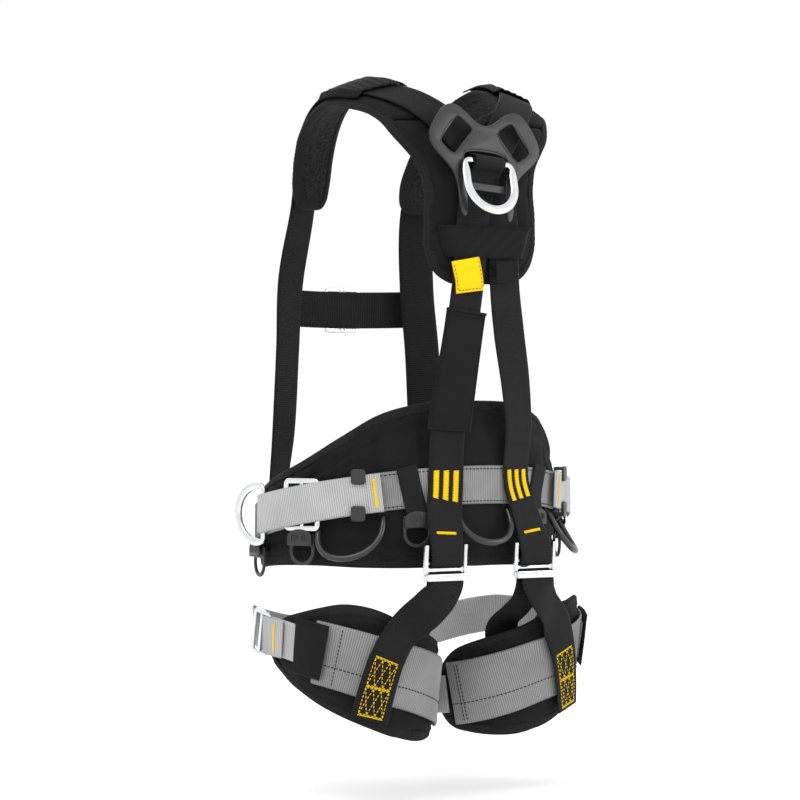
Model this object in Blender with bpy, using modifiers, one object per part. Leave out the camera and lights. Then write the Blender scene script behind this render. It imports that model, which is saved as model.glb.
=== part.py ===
"""A full-body climbing harness, worn shape: padded shoulder yoke, padded waist belt and two leg loops.

Metres, +Z up. The wearer faces -Y and the wearer's left is +X. The origin is on the wearer's spine axis
at the height of the belt webbing at the centre of the back.
"""

from math import cos, pi, radians, sin, sqrt

import bmesh
import bpy
import numpy as np
from mathutils import Matrix, Vector

# Webbing and padding
WEB_WIDTH = 0.045
WEB_THICK = 0.0022
LAYER = 0.0038  # from the middle of one webbing layer to the next
PAD_THICK = 0.014
PAD_TO_WEB = 0.0026  # from a pad's face to the middle of the webbing sewn on it
WEB_ON_PAD = PAD_THICK + PAD_TO_WEB

# The wearer's waist, an ellipse; the belt sinks towards the front
WAIST_HALF_WIDTH = 0.178
WAIST_HALF_DEPTH = 0.134
BELT_SINK = 0.034

# The belt's pad: angle from the centre of the back, edge height
BELT_END = 122.0
BELT_ROUND = 14.0  # degrees over which the pad's ends are rounded
BELT_TOP = (
    (0, 0.097), (23, 0.096), (40, 0.088), (55, 0.071), (75, 0.052), (98, 0.044), (122, 0.040),
)
BELT_BOTTOM = ((0, -0.094), (28, -0.091), (46, -0.084), (68, -0.071), (97, -0.057), (122, -0.050))
BELT_LEAN = 0.14  # how far the pad leans in to the waist, for each metre above the webbing

# The wearer's thighs, ellipses; a leg loop rises to the outside
THIGH_OUT = 0.1035
THIGH_BACK = 0.012
THIGH_HALF_WIDTH = 0.082
THIGH_HALF_DEPTH = 0.108
THIGH_FULLNESS = 2.4  # 2 is an ellipse, and more is squarer
THIGH_TAPER = 0.08
LEG_LOOP_HEIGHT = -0.220
LEG_LOOP_RISE = 0.034

# A leg pad: angle from the back to the outside, edge height above the leg loop's own line
LEG_PAD_INNER = -78.0
LEG_PAD_OUTER = 96.0
LEG_ROUND = 16.0
LEG_TOP = (
    (-78, 0.042), (-62, 0.053), (-11, 0.060), (18, 0.067), (40, 0.061), (56, 0.050), (77, 0.036), (96, 0.026),
)
LEG_BOTTOM = (
    (-78, -0.036), (-62, -0.043), (-37, -0.057), (-11, -0.069), (18, -0.070), (43, -0.067), (58, -0.062),
    (77, -0.049), (96, -0.030),
)

# The shoulder yoke's middle surface, which drops away from the spine with distance squared
BACK_CAMBER = 0.8
SHOULDER_CAMBER = 1.7
YOKE_PROFILE = (  # y, z from the bottom of the back, over the shoulder, to the chest
    (0.148, 0.234), (0.150, 0.266), (0.151, 0.300), (0.149, 0.340), (0.143, 0.380), (0.133, 0.415),
    (0.116, 0.443), (0.082, 0.467), (0.040, 0.478), (-0.004, 0.470), (-0.044, 0.447), (-0.076, 0.410),
    (-0.096, 0.365), (-0.104, 0.325),
)
YOKE_OUTLINE = (  # length along the profile, inner edge, outer edge
    (0.000, 0.000, 0.040), (0.006, 0.000, 0.055), (0.018, 0.000, 0.069), (0.036, 0.000, 0.077),
    (0.070, 0.000, 0.079), (0.120, 0.000, 0.079), (0.142, 0.000, 0.086), (0.160, 0.000, 0.099),
    (0.178, 0.000, 0.112), (0.195, 0.000, 0.119), (0.206, 0.030, 0.124), (0.220, 0.050, 0.129),
    (0.245, 0.061, 0.134), (0.284, 0.068, 0.137), (0.327, 0.071, 0.138), (0.369, 0.070, 0.136),
    (0.414, 0.064, 0.131), (0.460, 0.057, 0.122), (0.502, 0.054, 0.113), (0.518, 0.057, 0.106),
    (0.529, 0.067, 0.096),
)
NECK_START = 0.1955  # the length at which the yoke parts round the neck
STRAP_ON_YOKE = PAD_THICK / 2 + PAD_TO_WEB
CROSSING = 0.0035  # how much further out the upper of the two crossing straps lies

# Hardware
D_RING_BAR = 0.0035  # half a folded-round bar's height
RING_FOLD = 0.0062  # radius of the webbing's middle round that bar
RING_THICK = 0.006
TUBE_RADIUS = 0.0038
ADJUSTER_OUT = 0.0645
ADJUSTER_BACK = 0.166
ADJUSTER_HEIGHT = -0.089
ADJUSTER_FOLD = 0.0052
ADJUSTER_REACH = 0.016  # from the strap's bar down to the leg riser's bar
ADJUSTER_ARM = 0.021  # from the strap's bar up to the ends of the arms
SIDE_RING_ANGLE = 91.0
SIDE_RING_SWING = 13.0  # degrees that a side ring stands out from the belt
SIDE_STRAP = WEB_ON_PAD + LAYER
SIDES = (("left", 1), ("right", -1))


# ---------------------------------------------------------------- materials
def material(name, colour, roughness, metallic=0.0):
    made = bpy.data.materials.new(name)
    made.use_nodes = True
    shader = made.node_tree.nodes["Principled BSDF"]
    shader.inputs["Base Color"].default_value = (*colour, 1.0)
    shader.inputs["Roughness"].default_value = roughness
    shader.inputs["Metallic"].default_value = metallic
    return made


def make_materials():
    return {
        "pad_fabric": material("pad_fabric", (0.018, 0.018, 0.020), 0.85),
        "black_webbing": material("black_webbing", (0.012, 0.012, 0.013), 0.75),
        "grey_webbing": material("grey_webbing", (0.33, 0.33, 0.34), 0.7),
        "tag_fabric": material("tag_fabric", (0.90, 0.72, 0.02), 0.6),
        "moulded_plastic": material("moulded_plastic", (0.035, 0.035, 0.038), 0.45),
        "polished_alloy": material("polished_alloy", (0.86, 0.87, 0.88), 0.18, 1.0),
    }


# ---------------------------------------------------------------- curves and surfaces
def smooth(rows, count):
    """count + 1 samples, evenly spaced, of the smooth curve through rows, by their first three columns."""
    rows = np.array(rows, float)
    steps = np.linalg.norm(np.diff(rows[:, :3], axis=0), axis=1)
    along = np.concatenate([[0.0], np.cumsum(steps)])
    slope = np.gradient(rows, along, axis=0)
    at = np.linspace(0.0, along[-1], 30 * len(rows))
    k = np.clip(np.searchsorted(along, at, "right") - 1, 0, len(rows) - 2)
    gap = along[k + 1] - along[k]
    t = ((at - along[k]) / gap)[:, None]
    gap = gap[:, None]
    fine = (
        (2 * t**3 - 3 * t**2 + 1) * rows[k]
        + (t**3 - 2 * t**2 + t) * gap * slope[k]
        + (3 * t**2 - 2 * t**3) * rows[k + 1]
        + (t**3 - t**2) * gap * slope[k + 1]
    )
    walked = np.linalg.norm(np.diff(fine[:, :3], axis=0), axis=1)
    walked = np.concatenate([[0.0], np.cumsum(walked)])
    even = np.linspace(0.0, walked[-1], count + 1)
    return np.stack([np.interp(even, walked, column) for column in fine.T], axis=1)


def between(rows, x):
    """The columns after the first, interpolated smoothly at x in the first column."""
    rows = np.array(rows, float)
    slope = np.gradient(rows, rows[:, 0], axis=0)
    x = min(max(x, rows[0, 0]), rows[-1, 0])
    k = min(max(int(np.searchsorted(rows[:, 0], x, "right")) - 1, 0), len(rows) - 2)
    gap = rows[k + 1, 0] - rows[k, 0]
    t = (x - rows[k, 0]) / gap
    value = (
        (2 * t**3 - 3 * t**2 + 1) * rows[k]
        + (t**3 - 2 * t**2 + t) * gap * slope[k]
        + (3 * t**2 - 2 * t**3) * rows[k + 1]
        + (t**3 - t**2) * gap * slope[k + 1]
    )
    return value[1:]


def waist_normal(angle):
    a = radians(angle)
    return Vector((sin(a) / WAIST_HALF_WIDTH, cos(a) / WAIST_HALF_DEPTH, 0.0)).normalized()


def waist_point(angle, height, stand_off):
    """A point stand_off outside the waist; angle runs from the centre of the back to the wearer's left."""
    a = radians(angle)
    ring = Vector((WAIST_HALF_WIDTH * sin(a), WAIST_HALF_DEPTH * cos(a), 0.0))
    sink = BELT_SINK * (1 - cos(a))
    return ring + waist_normal(angle) * stand_off + Vector((0, 0, height - sink))


def thigh_normal(side, angle):
    x, y = sin(radians(angle)), cos(radians(angle))
    squarer = 2 - 2 / THIGH_FULLNESS
    across = (abs(x) ** squarer) * (1 if x > 0 else -1) / THIGH_HALF_WIDTH
    back = (abs(y) ** squarer) * (1 if y > 0 else -1) / THIGH_HALF_DEPTH
    return Vector((side * across, back, 0.0)).normalized()


def thigh_point(side, angle, height, stand_off):
    """A point stand_off outside the thigh; angle runs from the back to the outside."""
    x, y = sin(radians(angle)), cos(radians(angle))
    round_off = 2 / THIGH_FULLNESS
    across = (abs(x) ** round_off) * (1 if x > 0 else -1) * THIGH_HALF_WIDTH
    back = (abs(y) ** round_off) * (1 if y > 0 else -1) * THIGH_HALF_DEPTH
    ring = Vector((side * across, back, 0.0)) * (1 + THIGH_TAPER * height / THIGH_HALF_WIDTH)
    middle = Vector((side * THIGH_OUT, THIGH_BACK, LEG_LOOP_HEIGHT + LEG_LOOP_RISE * x + height))
    return middle + ring + thigh_normal(side, angle) * stand_off


YOKE_PATH = smooth([(0.0, y, z) for y, z in YOKE_PROFILE], 120)
YOKE_LENGTH = float(np.linalg.norm(np.diff(YOKE_PATH, axis=0), axis=1).sum())


def yoke_middle(u, length):
    """The yoke's middle surface at u to the wearer's left and length along the profile."""
    at = min(max(length / YOKE_LENGTH, 0.0), 1.0) * 120
    k = min(int(at), 119)
    here = YOKE_PATH[k] + (YOKE_PATH[k + 1] - YOKE_PATH[k]) * (at - k)
    low, high = max(k - 3, 0), min(k + 4, 120)
    run = YOKE_PATH[high] - YOKE_PATH[low]
    outward = Vector((0.0, run[2], -run[1])).normalized()
    over = min(max((length - 0.18) / 0.10, 0.0), 1.0)
    camber = BACK_CAMBER + (SHOULDER_CAMBER - BACK_CAMBER) * over * over * (3 - 2 * over)
    return Vector((u, here[1], here[2])) - outward * camber * u * u


def yoke_normal(u, length):
    step = 0.002
    across = yoke_middle(u + step, length) - yoke_middle(u - step, length)
    length = min(max(length, step), YOKE_LENGTH - step)
    along = yoke_middle(u, length + step) - yoke_middle(u, length - step)
    return along.cross(across).normalized()


def yoke_point(u, length, stand_off):
    """A point stand_off outside the yoke's middle surface."""
    return yoke_middle(u, length) + yoke_normal(u, length) * stand_off


def outward_frame(place, outward, up=(0, 0, 1)):
    """A frame at place: local Z is outward, local Y is up as nearly as it can be, local X is to the right."""
    z = Vector(outward).normalized()
    y = (Vector(up) - z * Vector(up).dot(z)).normalized()
    x = y.cross(z)
    made = Matrix((x, y, z)).transposed().to_4x4()
    made.translation = place
    return made


# ---------------------------------------------------------------- making objects
def add_object(name, data, kind, materials, place=None):
    made = bpy.data.objects.new(name, data)
    data.materials.append(materials[kind])
    bpy.data.collections["harness"].objects.link(made)
    if place is not None:
        made.matrix_world = place
    return made


def shell(name, along, across, place, thick, kind, materials, mirror=False):
    """A grid laid by place(i, j) on a surface, and thickened by thick, half to each side."""
    mesh = bpy.data.meshes.new(name)
    grid = bmesh.new()
    bmesh.ops.create_grid(grid, x_segments=along, y_segments=across, size=0.5)
    for vertex in grid.verts:
        i = round((vertex.co.x + 0.5) * along)
        j = round((vertex.co.y + 0.5) * across)
        vertex.co = place(i, j)
    grid.to_mesh(mesh)
    grid.free()
    made = add_object(name, mesh, kind, materials)
    if mirror:
        half = made.modifiers.new("mirror", "MIRROR")
        half.merge_threshold = 0.00005
    walls = made.modifiers.new("thickness", "SOLIDIFY")
    walls.thickness = thick
    walls.offset = 0.0
    walls.use_even_offset = True
    mesh.shade_smooth()
    return made


def ribbon(name, rows, width, kind, materials, thick=WEB_THICK, across=1):
    """Webbing whose middle runs through rows of x, y, z and the way that its face looks there."""
    rows = np.array(rows, float)
    run = np.gradient(rows[:, :3], axis=0)
    side_way = np.cross(run, rows[:, 3:6])
    side_way /= np.linalg.norm(side_way, axis=1)[:, None]

    def place(i, j):
        return Vector(rows[i, :3] + side_way[i] * width * (j / across - 0.5))

    return shell(name, len(rows) - 1, across, place, thick, kind, materials)


def facing(point, normal):
    return [*point, *normal]


def fold(centre, axis, start, radius, turn, steps=6):
    """Rows of a webbing fold about axis: from start, a direction, turning by turn degrees."""
    rows = []
    for k in range(steps + 1):
        way = Matrix.Rotation(radians(turn) * k / steps, 3, axis) @ Vector(start).normalized()
        rows.append(facing(Vector(centre) + way * radius, way))
    return rows


def arc(centre_x, centre_y, radius_x, radius_y, start, end, steps):
    """Points of an arc, in degrees anticlockwise from +X."""
    angles = [radians(start + (end - start) * k / steps) for k in range(steps + 1)]
    return [(centre_x + radius_x * cos(a), centre_y + radius_y * sin(a)) for a in angles]


def rounded_box(low_x, low_y, high_x, high_y, radius, steps=3):
    corners = (
        (high_x - radius, high_y - radius, 0),
        (low_x + radius, high_y - radius, 90),
        (low_x + radius, low_y + radius, 180),
        (high_x - radius, low_y + radius, 270),
    )
    points = []
    for x, y, start in corners:
        points += arc(x, y, radius, radius, start, start + 90, steps)
    return points


def plate(name, outlines, thick, kind, materials, place, edge=0.0006):
    """A flat piece: the first outline is its edge and the others are holes; its middle is at place."""
    flat = bpy.data.curves.new(name, "CURVE")
    flat.dimensions = "2D"
    flat.fill_mode = "BOTH"
    flat.extrude = thick / 2 - edge
    flat.bevel_depth = edge
    flat.bevel_resolution = 0
    flat.offset = -edge
    for outline in outlines:
        spline = flat.splines.new("POLY")
        spline.points.add(len(outline) - 1)
        for point, (x, y) in zip(spline.points, outline, strict=True):
            point.co = (x, y, 0.0, 1.0)
        spline.use_cyclic_u = True
    return add_object(name, flat, kind, materials, place)


def tube(name, points, radius, kind, materials, place=None):
    route = bpy.data.curves.new(name, "CURVE")
    route.dimensions = "3D"
    route.bevel_depth = radius
    route.bevel_resolution = 2
    route.use_fill_caps = True
    spline = route.splines.new("POLY")
    spline.points.add(len(points) - 1)
    for point, co in zip(spline.points, points, strict=True):
        point.co = (*co, 1.0)
    return add_object(name, route, kind, materials, place)


# ---------------------------------------------------------------- shoulder yoke and back
def make_yoke(materials):
    across = 4
    end = YOKE_OUTLINE[-1][0]
    stations = [row[0] for row in YOKE_OUTLINE if row[0] < 0.21]
    stations = sorted([*stations, *np.linspace(0.220, end, 15)])

    def place(i, j):
        inner, outer = between(YOKE_OUTLINE, stations[i])
        if stations[i] < NECK_START:
            inner = 0.0
        return yoke_middle(inner + (outer - inner) * j / across, stations[i])

    count = len(stations) - 1
    shell("yoke_pad", count, across, place, PAD_THICK, "pad_fabric", materials, mirror=True)


STRAP_ON_SHOULDER = (  # length along the yoke's profile, distance from the spine
    (0.518, 0.083), (0.476, 0.086), (0.432, 0.094), (0.379, 0.102), (0.327, 0.105), (0.282, 0.101),
    (0.245, 0.090), (0.218, 0.072), (0.190, 0.046), (0.160, 0.019), (0.130, -0.004), (0.100, -0.017),
    (0.068, -0.023), (0.034, -0.025), (0.004, -0.027),
)


def main_strap_rows(side):
    """From the belt's front, up the chest, over one shoulder, across the spine, to the other rear adjuster."""
    over = CROSSING if side < 0 else 0.0
    front = 142
    chest = [
        facing(waist_point(front, -0.030, 0.0105), waist_normal(front)),
        facing(waist_point(front, 0.022, 0.0105), waist_normal(front)),
        [0.106, -0.112, 0.060, 0.35, -0.93, 0.0],
        [0.100, -0.112, 0.160, 0.30, -0.95, 0.0],
        [0.094, -0.115, 0.240, 0.25, -0.97, 0.0],
    ]
    for length, u in STRAP_ON_SHOULDER:
        lift = over if length < 0.217 else 0.0
        chest.append(facing(yoke_point(u, length, STRAP_ON_YOKE + lift), yoke_normal(u, length)))
    back = [
        [-0.034, 0.1570, 0.180, -0.02, 1.0, 0.0],
        [-0.045, 0.1560, 0.115, -0.10, 1.0, 0.0],
        [-0.051, 0.1535, 0.070, -0.16, 0.98, 0.0],
        facing(waist_point(-15.5, 0.0, SIDE_STRAP), waist_normal(-15.5)),
        [-0.0590, 0.1575, -0.035, -0.18, 0.98, 0.06],
        [-0.0625, 0.1655, -0.060, -0.08, 0.99, 0.06],
    ]
    rows = smooth(chest + back, 84)
    joint = adjuster_place(-1)
    outward = Vector((0, 1, 0))
    axis = Vector((0, 0, 1)).cross(outward)
    inner = joint - outward * ADJUSTER_FOLD
    rows = np.concatenate([
        rows,
        [facing(joint + outward * ADJUSTER_FOLD + Vector((0, 0, 0.010)), outward)],
        fold(joint, axis, outward, ADJUSTER_FOLD, 180),
        [facing(inner + Vector((0, 0, 0.010)), -outward)],
        [facing(inner + Vector((0.001, -0.0018, 0.022)), Vector((0.05, -1, 0)))],
    ])
    rows[:, (0, 3)] *= side
    return rows


def make_main_straps(materials):
    for word, side in SIDES:
        ribbon(f"main_strap_{word}", main_strap_rows(side), WEB_WIDTH, "black_webbing", materials)


def strap_middle(length):
    """How far from the spine the middle of a main strap lies on the yoke."""
    return between(sorted(STRAP_ON_SHOULDER), length)[0]


def cover(name, lengths, half, middle, top, shoulder, kind, materials, along=10, across=8):
    """Cloth sewn to the yoke at both edges and arched over the straps, at a stand-off top."""
    low, high = lengths
    edge = PAD_THICK / 2 + 0.0016

    def place(i, j):
        length = low + (high - low) * j / across
        off = half * (2 * i / along - 1)
        t = min((half - abs(off)) / shoulder, 1.0)
        return yoke_point(middle(length) + off, length, edge + (top - edge) * t * t * (3 - 2 * t))

    return shell(name, along, across, place, 0.0018, kind, materials)


def make_band_and_sleeves(materials):
    top = STRAP_ON_YOKE + CROSSING + 0.0030
    cover("retaining_band", (0.031, 0.067), 0.067, lambda length: 0.0, top, 0.014, "black_webbing",
          materials, along=20, across=1)
    for word, side in SIDES:
        cover(f"shoulder_sleeve_{word}", (0.252, 0.334), 0.0315, lambda length, side=side: side * strap_middle(length),
              STRAP_ON_YOKE + 0.0042, 0.009, "pad_fabric", materials)


PLATE_LENGTH = 0.137  # where on the yoke's profile the plate's own origin lies
PLATE_STAND_OFF = 0.0203
PLATE_THICK = 0.0034
PLATE_SHIFT = 0.006
PLATE_TURN = -5.0


def plate_place():
    outward = yoke_normal(PLATE_SHIFT, PLATE_LENGTH)
    place = outward_frame(yoke_point(PLATE_SHIFT, PLATE_LENGTH, PLATE_STAND_OFF), outward)
    return place @ Matrix.Rotation(radians(PLATE_TURN), 4, "Z")


def make_dorsal_plate(materials):
    half = [
        (0.000, 0.045), (0.012, 0.048), (0.024, 0.057), (0.038, 0.065), (0.050, 0.065), (0.062, 0.056),
        (0.073, 0.040), (0.078, 0.028), (0.076, 0.016), (0.067, 0.005), (0.057, -0.004), (0.048, -0.013),
        (0.0425, -0.023), (0.0395, -0.036), (0.0378, -0.054), (0.035, -0.064), (0.031, -0.067),
        (0.0285, -0.063), (0.0276, -0.052), (0.0272, -0.036), (0.0282, -0.022), (0.0305, -0.010),
        (0.0320, 0.001), (0.029, 0.008), (0.018, 0.0115), (0.000, 0.0125),
    ]
    outline = half + [(-x, y) for x, y in reversed(half[1:-1])]
    slot = [(0.020, 0.041), (0.037, 0.051), (0.062, 0.018), (0.047, 0.008)]
    mirrored = [(-x, y) for x, y in reversed(slot)]
    outlines = [outline, slot, mirrored]
    plate("dorsal_plate", outlines, PLATE_THICK, "moulded_plastic", materials, plate_place())
    bar = rounded_box(-0.026, -0.0045, 0.026, 0.0045, 0.003)
    place = plate_place() @ Matrix.Translation((0.0, -0.030, 0.0006))
    plate("strap_keeper_bar", [bar], 0.0028, "moulded_plastic", materials, place)


def d_outline(half, top, bottom, corner):
    """A D lying on its back: straight along the top and round below."""
    belly = min(half, top - bottom - corner)
    points = arc(half - corner, top - corner, corner, corner, 0, 90, 2)
    points += arc(corner - half, top - corner, corner, corner, 90, 180, 2)
    return points + arc(0.0, bottom + belly, half, belly, 180, 360, 14)


def d_ring(name, half, depth, limb, materials, place, bar=D_RING_BAR):
    """A D-ring that hangs from the middle of its straight bar, along local X, towards local -Y."""
    outer = d_outline(half, bar, -depth, 0.005)
    inner = d_outline(half - limb, -bar, limb - depth, 0.003)
    return plate(name, [outer, inner], RING_THICK, "polished_alloy", materials, place, edge=0.0012)


RING_BAR_DROP = 0.0005  # below the plate's origin
RING_LIFT = 0.0056  # the ring's bar in front of the plate
RING_TILT = -9.0  # degrees that the ring stands out from the plate


def dorsal_ring_place():
    place = plate_place() @ Matrix.Translation((0.0, -RING_BAR_DROP, RING_LIFT))
    return place @ Matrix.Rotation(radians(RING_TILT), 4, "X")


def make_dorsal_ring(materials):
    d_ring("dorsal_d_ring", 0.0385, 0.065, 0.011, materials, dorsal_ring_place())
    place = plate_place()
    outward = place.col[2].to_3d()
    route = (  # height and stand-off in the plate's frame
        (0.034, -0.0040), (0.019, -0.0040), (0.0126, -0.0036), (0.0086, -0.0008), (0.0068, 0.0046),
        (0.0046, 0.0092), (-0.0005, 0.0118), (-0.0052, 0.0094), (-0.0078, 0.0048), (-0.0096, -0.0002),
        (-0.0136, -0.0034), (-0.036, -0.0036),
    )
    rows = smooth([facing(place @ Vector((0.0, y, z)), outward) for y, z in route], 22)
    ribbon("ring_strap", rows, 0.036, "black_webbing", materials)


def make_back_labels(materials):
    """A yellow tag and a small plain tag under the band, and a sleeve on one of the back straps."""
    tag = [
        facing(Vector((0.036, 0.1666, 0.2595)), Vector((0, 1, 0))),
        facing(Vector((0.034, 0.1680, 0.250)), Vector((0, 1, 0))),
        facing(Vector((0.032, 0.1685, 0.240)), Vector((0, 1, 0.1))),
        facing(Vector((0.030, 0.1670, 0.224)), Vector((0, 1, 0.1))),
    ]
    ribbon("indicator_tag", smooth(tag, 5), 0.040, "tag_fabric", materials, thick=0.0012)
    small = [
        facing(Vector((-0.022, 0.1690, 0.258)), Vector((0, 1, 0))),
        facing(Vector((-0.022, 0.1700, 0.236)), Vector((0, 1, 0))),
    ]
    ribbon("maker_tag", small, 0.032, "black_webbing", materials, thick=0.0010)
    strap = main_strap_rows(-1)
    strap = np.array([row for row in strap if row[1] > 0 and 0.02 < row[2] < 0.24])[::-1]
    heights = np.linspace(0.203, 0.062, 10)
    sleeve = np.stack([np.interp(heights, strap[:, 2], column) for column in strap.T], axis=1)
    outward = sleeve[:, 3:6] / np.linalg.norm(sleeve[:, 3:6], axis=1)[:, None]
    sleeve[:, :3] += outward * LAYER
    ribbon("label_sleeve", sleeve, 0.056, "pad_fabric", materials, thick=0.0024)


# ---------------------------------------------------------------- waist belt
def adjuster_place(side):
    """The middle of the bar that the main strap folds round."""
    return Vector((side * ADJUSTER_OUT, ADJUSTER_BACK, ADJUSTER_HEIGHT))


def belt_edges(angle):
    reach = abs(angle)
    low, high = between(BELT_BOTTOM, reach)[0], between(BELT_TOP, reach)[0]
    into = (reach - (BELT_END - BELT_ROUND)) / BELT_ROUND
    return rounded_end(low, high, into)


def rounded_end(low, high, into):
    """The two edges drawn together as into goes from 0 to 1, as at a round end."""
    if into <= 0:
        return low, high
    share = 0.25 + 0.75 * sqrt(max(1 - into * into, 0.0))
    middle = (low + high) / 2
    return middle + (low - middle) * share, middle + (high - middle) * share


def make_belt_pad(materials):
    along, across = 44, 5
    ends = [BELT_END * k / (along / 2) for k in range(-along // 2, along // 2 + 1)]

    def place(i, j):
        low, high = belt_edges(ends[i])
        height = low + (high - low) * j / across
        lean = BELT_LEAN * max(height - 0.026, 0.0)
        return waist_point(ends[i], height, PAD_THICK / 2 - lean)

    shell("back_support_pad", along, across, place, PAD_THICK, "pad_fabric", materials)


def belt_rows(stops, count):
    """Rows along the belt, smooth through stops of angle and stand-off."""
    angles = np.linspace(stops[0][0], stops[-1][0], count + 1)
    rows = []
    for angle in angles:
        stand_off = np.interp(angle, [stop[0] for stop in stops], [stop[1] for stop in stops])
        rows.append(facing(waist_point(angle, 0.0, float(stand_off)), waist_normal(angle)))
    return np.array(rows)


def make_waist_webbing(materials):
    rows = belt_rows(((-97, WEB_ON_PAD), (97, WEB_ON_PAD)), 36)
    ribbon("waist_webbing", rows, WEB_WIDTH, "grey_webbing", materials)
    stops = ((98.5, WEB_ON_PAD), (121, WEB_ON_PAD), (140, 0.003), (220, 0.003), (239, WEB_ON_PAD),
             (261.5, WEB_ON_PAD))
    ribbon("front_waist_webbing", belt_rows(stops, 40), WEB_WIDTH, "grey_webbing", materials)


def side_ring_place(side):
    """The side ring's bar stands upright in the fold; the ring points forwards and out."""
    angle = side * SIDE_RING_ANGLE
    centre = waist_point(angle, 0.0, SIDE_STRAP + RING_FOLD)
    outward = waist_normal(angle)
    forward = Vector((side * outward.y, -side * outward.x, 0.0))
    swing = radians(SIDE_RING_SWING)
    reach = forward * cos(swing) + outward * sin(swing)
    face = outward * cos(swing) - forward * sin(swing)
    return outward_frame(centre, face, -reach)


def make_side_straps(materials):
    for word, side in SIDES:
        centre = waist_point(SIDE_RING_ANGLE, 0.0, SIDE_STRAP + RING_FOLD)
        outward = waist_normal(SIDE_RING_ANGLE)
        under = belt_rows(((52, SIDE_STRAP), (86, SIDE_STRAP)), 8)
        under[:, 3:6] *= -1
        turn = fold(centre, Vector((0, 0, 1)), -outward, RING_FOLD, 180)
        over = belt_rows(((39, 0.0262), (51, 0.0266), (59, 0.0314), (81, 0.0316), (87, 0.0325)), 12)
        rows = np.concatenate([under, turn, over[::-1]])
        rows[:, (0, 3)] *= side
        ribbon(f"side_strap_{word}", rows, WEB_WIDTH, "grey_webbing", materials)
        d_ring(f"side_d_ring_{word}", 0.038, 0.047, 0.0095, materials, side_ring_place(side))
        place = outward_frame(waist_point(side * 70, 0.0, 0.0256), waist_normal(side * 70))
        outlines = [
            rounded_box(-0.024, -0.0305, 0.024, 0.0305, 0.007),
            rounded_box(-0.018, -0.0240, -0.0035, 0.0240, 0.002, 2),
            rounded_box(0.0035, -0.0240, 0.018, 0.0240, 0.002, 2),
        ]
        plate(f"belt_buckle_{word}", outlines, 0.003, "polished_alloy", materials, place)
        make_strap_keeper(word, side, materials)


def make_strap_keeper(word, side, materials):
    """A C round the side strap's edges, seen along the strap: a back wall and two lugs."""
    outline = [
        (0.0180, -0.0290), (0.0308, -0.0290), (0.0308, -0.0150), (0.0284, -0.0150), (0.0284, -0.0240),
        (0.0189, -0.0240), (0.0189, 0.0240), (0.0284, 0.0240), (0.0284, 0.0150), (0.0308, 0.0150),
        (0.0308, 0.0290), (0.0180, 0.0290),
    ]
    angle = side * 47.5
    outward = waist_normal(angle)
    along = outward.cross(Vector((0, 0, 1)))
    place = Matrix((outward, Vector((0, 0, 1)), along)).transposed().to_4x4()
    place.translation = waist_point(angle, 0.0, 0.0)
    plate(f"strap_keeper_{word}", [outline], 0.013, "moulded_plastic", materials, place, edge=0.0002)


GEAR_LOOPS = (("left", 38.5, 63.5, 0.047), ("right", -63.5, -38.5, 0.047), ("rear", -10.2, 10.2, 0.043))
GEAR_LOOP_LEAN = 28.0  # degrees that a loop stands out from the pad
GEAR_LOOP_STAND_OFF = PAD_THICK + TUBE_RADIUS + 0.0005
GEAR_LOOP_TOP = -0.0285


def gear_loop_points(start, end, depth):
    points = []
    for k in range(21):
        t = k / 20
        angle = start + (end - start) * (0.5 - 0.5 * cos(pi * t))
        reach = depth * sin(pi * t) ** 0.8
        drop, out = reach * cos(radians(GEAR_LOOP_LEAN)), reach * sin(radians(GEAR_LOOP_LEAN))
        points.append(waist_point(angle, GEAR_LOOP_TOP - drop, GEAR_LOOP_STAND_OFF + out))
    return points


def make_gear_loops(materials):
    for word, start, end, depth in GEAR_LOOPS:
        points = gear_loop_points(start, end, depth)
        axis = (points[0] + points[-1]) / 2
        local = [point - axis for point in points]
        tube(f"gear_loop_{word}", local, TUBE_RADIUS, "moulded_plastic", materials, Matrix.Translation(axis))


ACCESSORY_SPOTS = (("rear", 26.0, -0.0335), ("side", 71.0, -0.0352), ("front", 99.5, -0.0348))  # angle, height
ACCESSORY_FOLD = 0.0042
ACCESSORY_STAND_OFF = PAD_THICK + 0.0016 + ACCESSORY_FOLD


def make_accessory_loops(materials):
    for spot, reach, height in ACCESSORY_SPOTS:
        for word, side in SIDES:
            angle = side * reach
            outward = waist_normal(angle)
            centre = waist_point(angle, height, ACCESSORY_STAND_OFF)
            outlines = [
                d_outline(0.0170, 0.0020, -0.0350, 0.002),
                rounded_box(-0.0135, -0.0064, 0.0135, -0.0020, 0.001, 1),
                d_outline(0.0120, -0.0100, -0.0300, 0.002),
            ]
            place = outward_frame(centre, outward)
            plate(f"{spot}_accessory_loop_{word}", outlines, 0.0030, "moulded_plastic", materials, place)
            up = Vector((0, 0, 1))
            front = centre + outward * ACCESSORY_FOLD
            if spot == "rear":
                top = waist_point(angle + side * 4.0, 0.026, SIDE_STRAP)
                upper = [top, waist_point(angle + side * 0.6, -0.021, SIDE_STRAP)]
            else:
                upper = [centre - outward * 0.0014 + up * 0.0084, centre + outward * 0.0024 + up * 0.0034]
            rows = [facing(point, outward) for point in upper]
            rows += [facing(front + up * 0.001, outward)]
            rows += fold(centre, up.cross(outward), outward, ACCESSORY_FOLD, 180)
            rows += [facing(centre - outward * ACCESSORY_FOLD + up * 0.0084, -outward)]
            name = f"{spot}_accessory_tab_{word}"
            ribbon(name, rows, 0.025, "black_webbing", materials)


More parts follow.
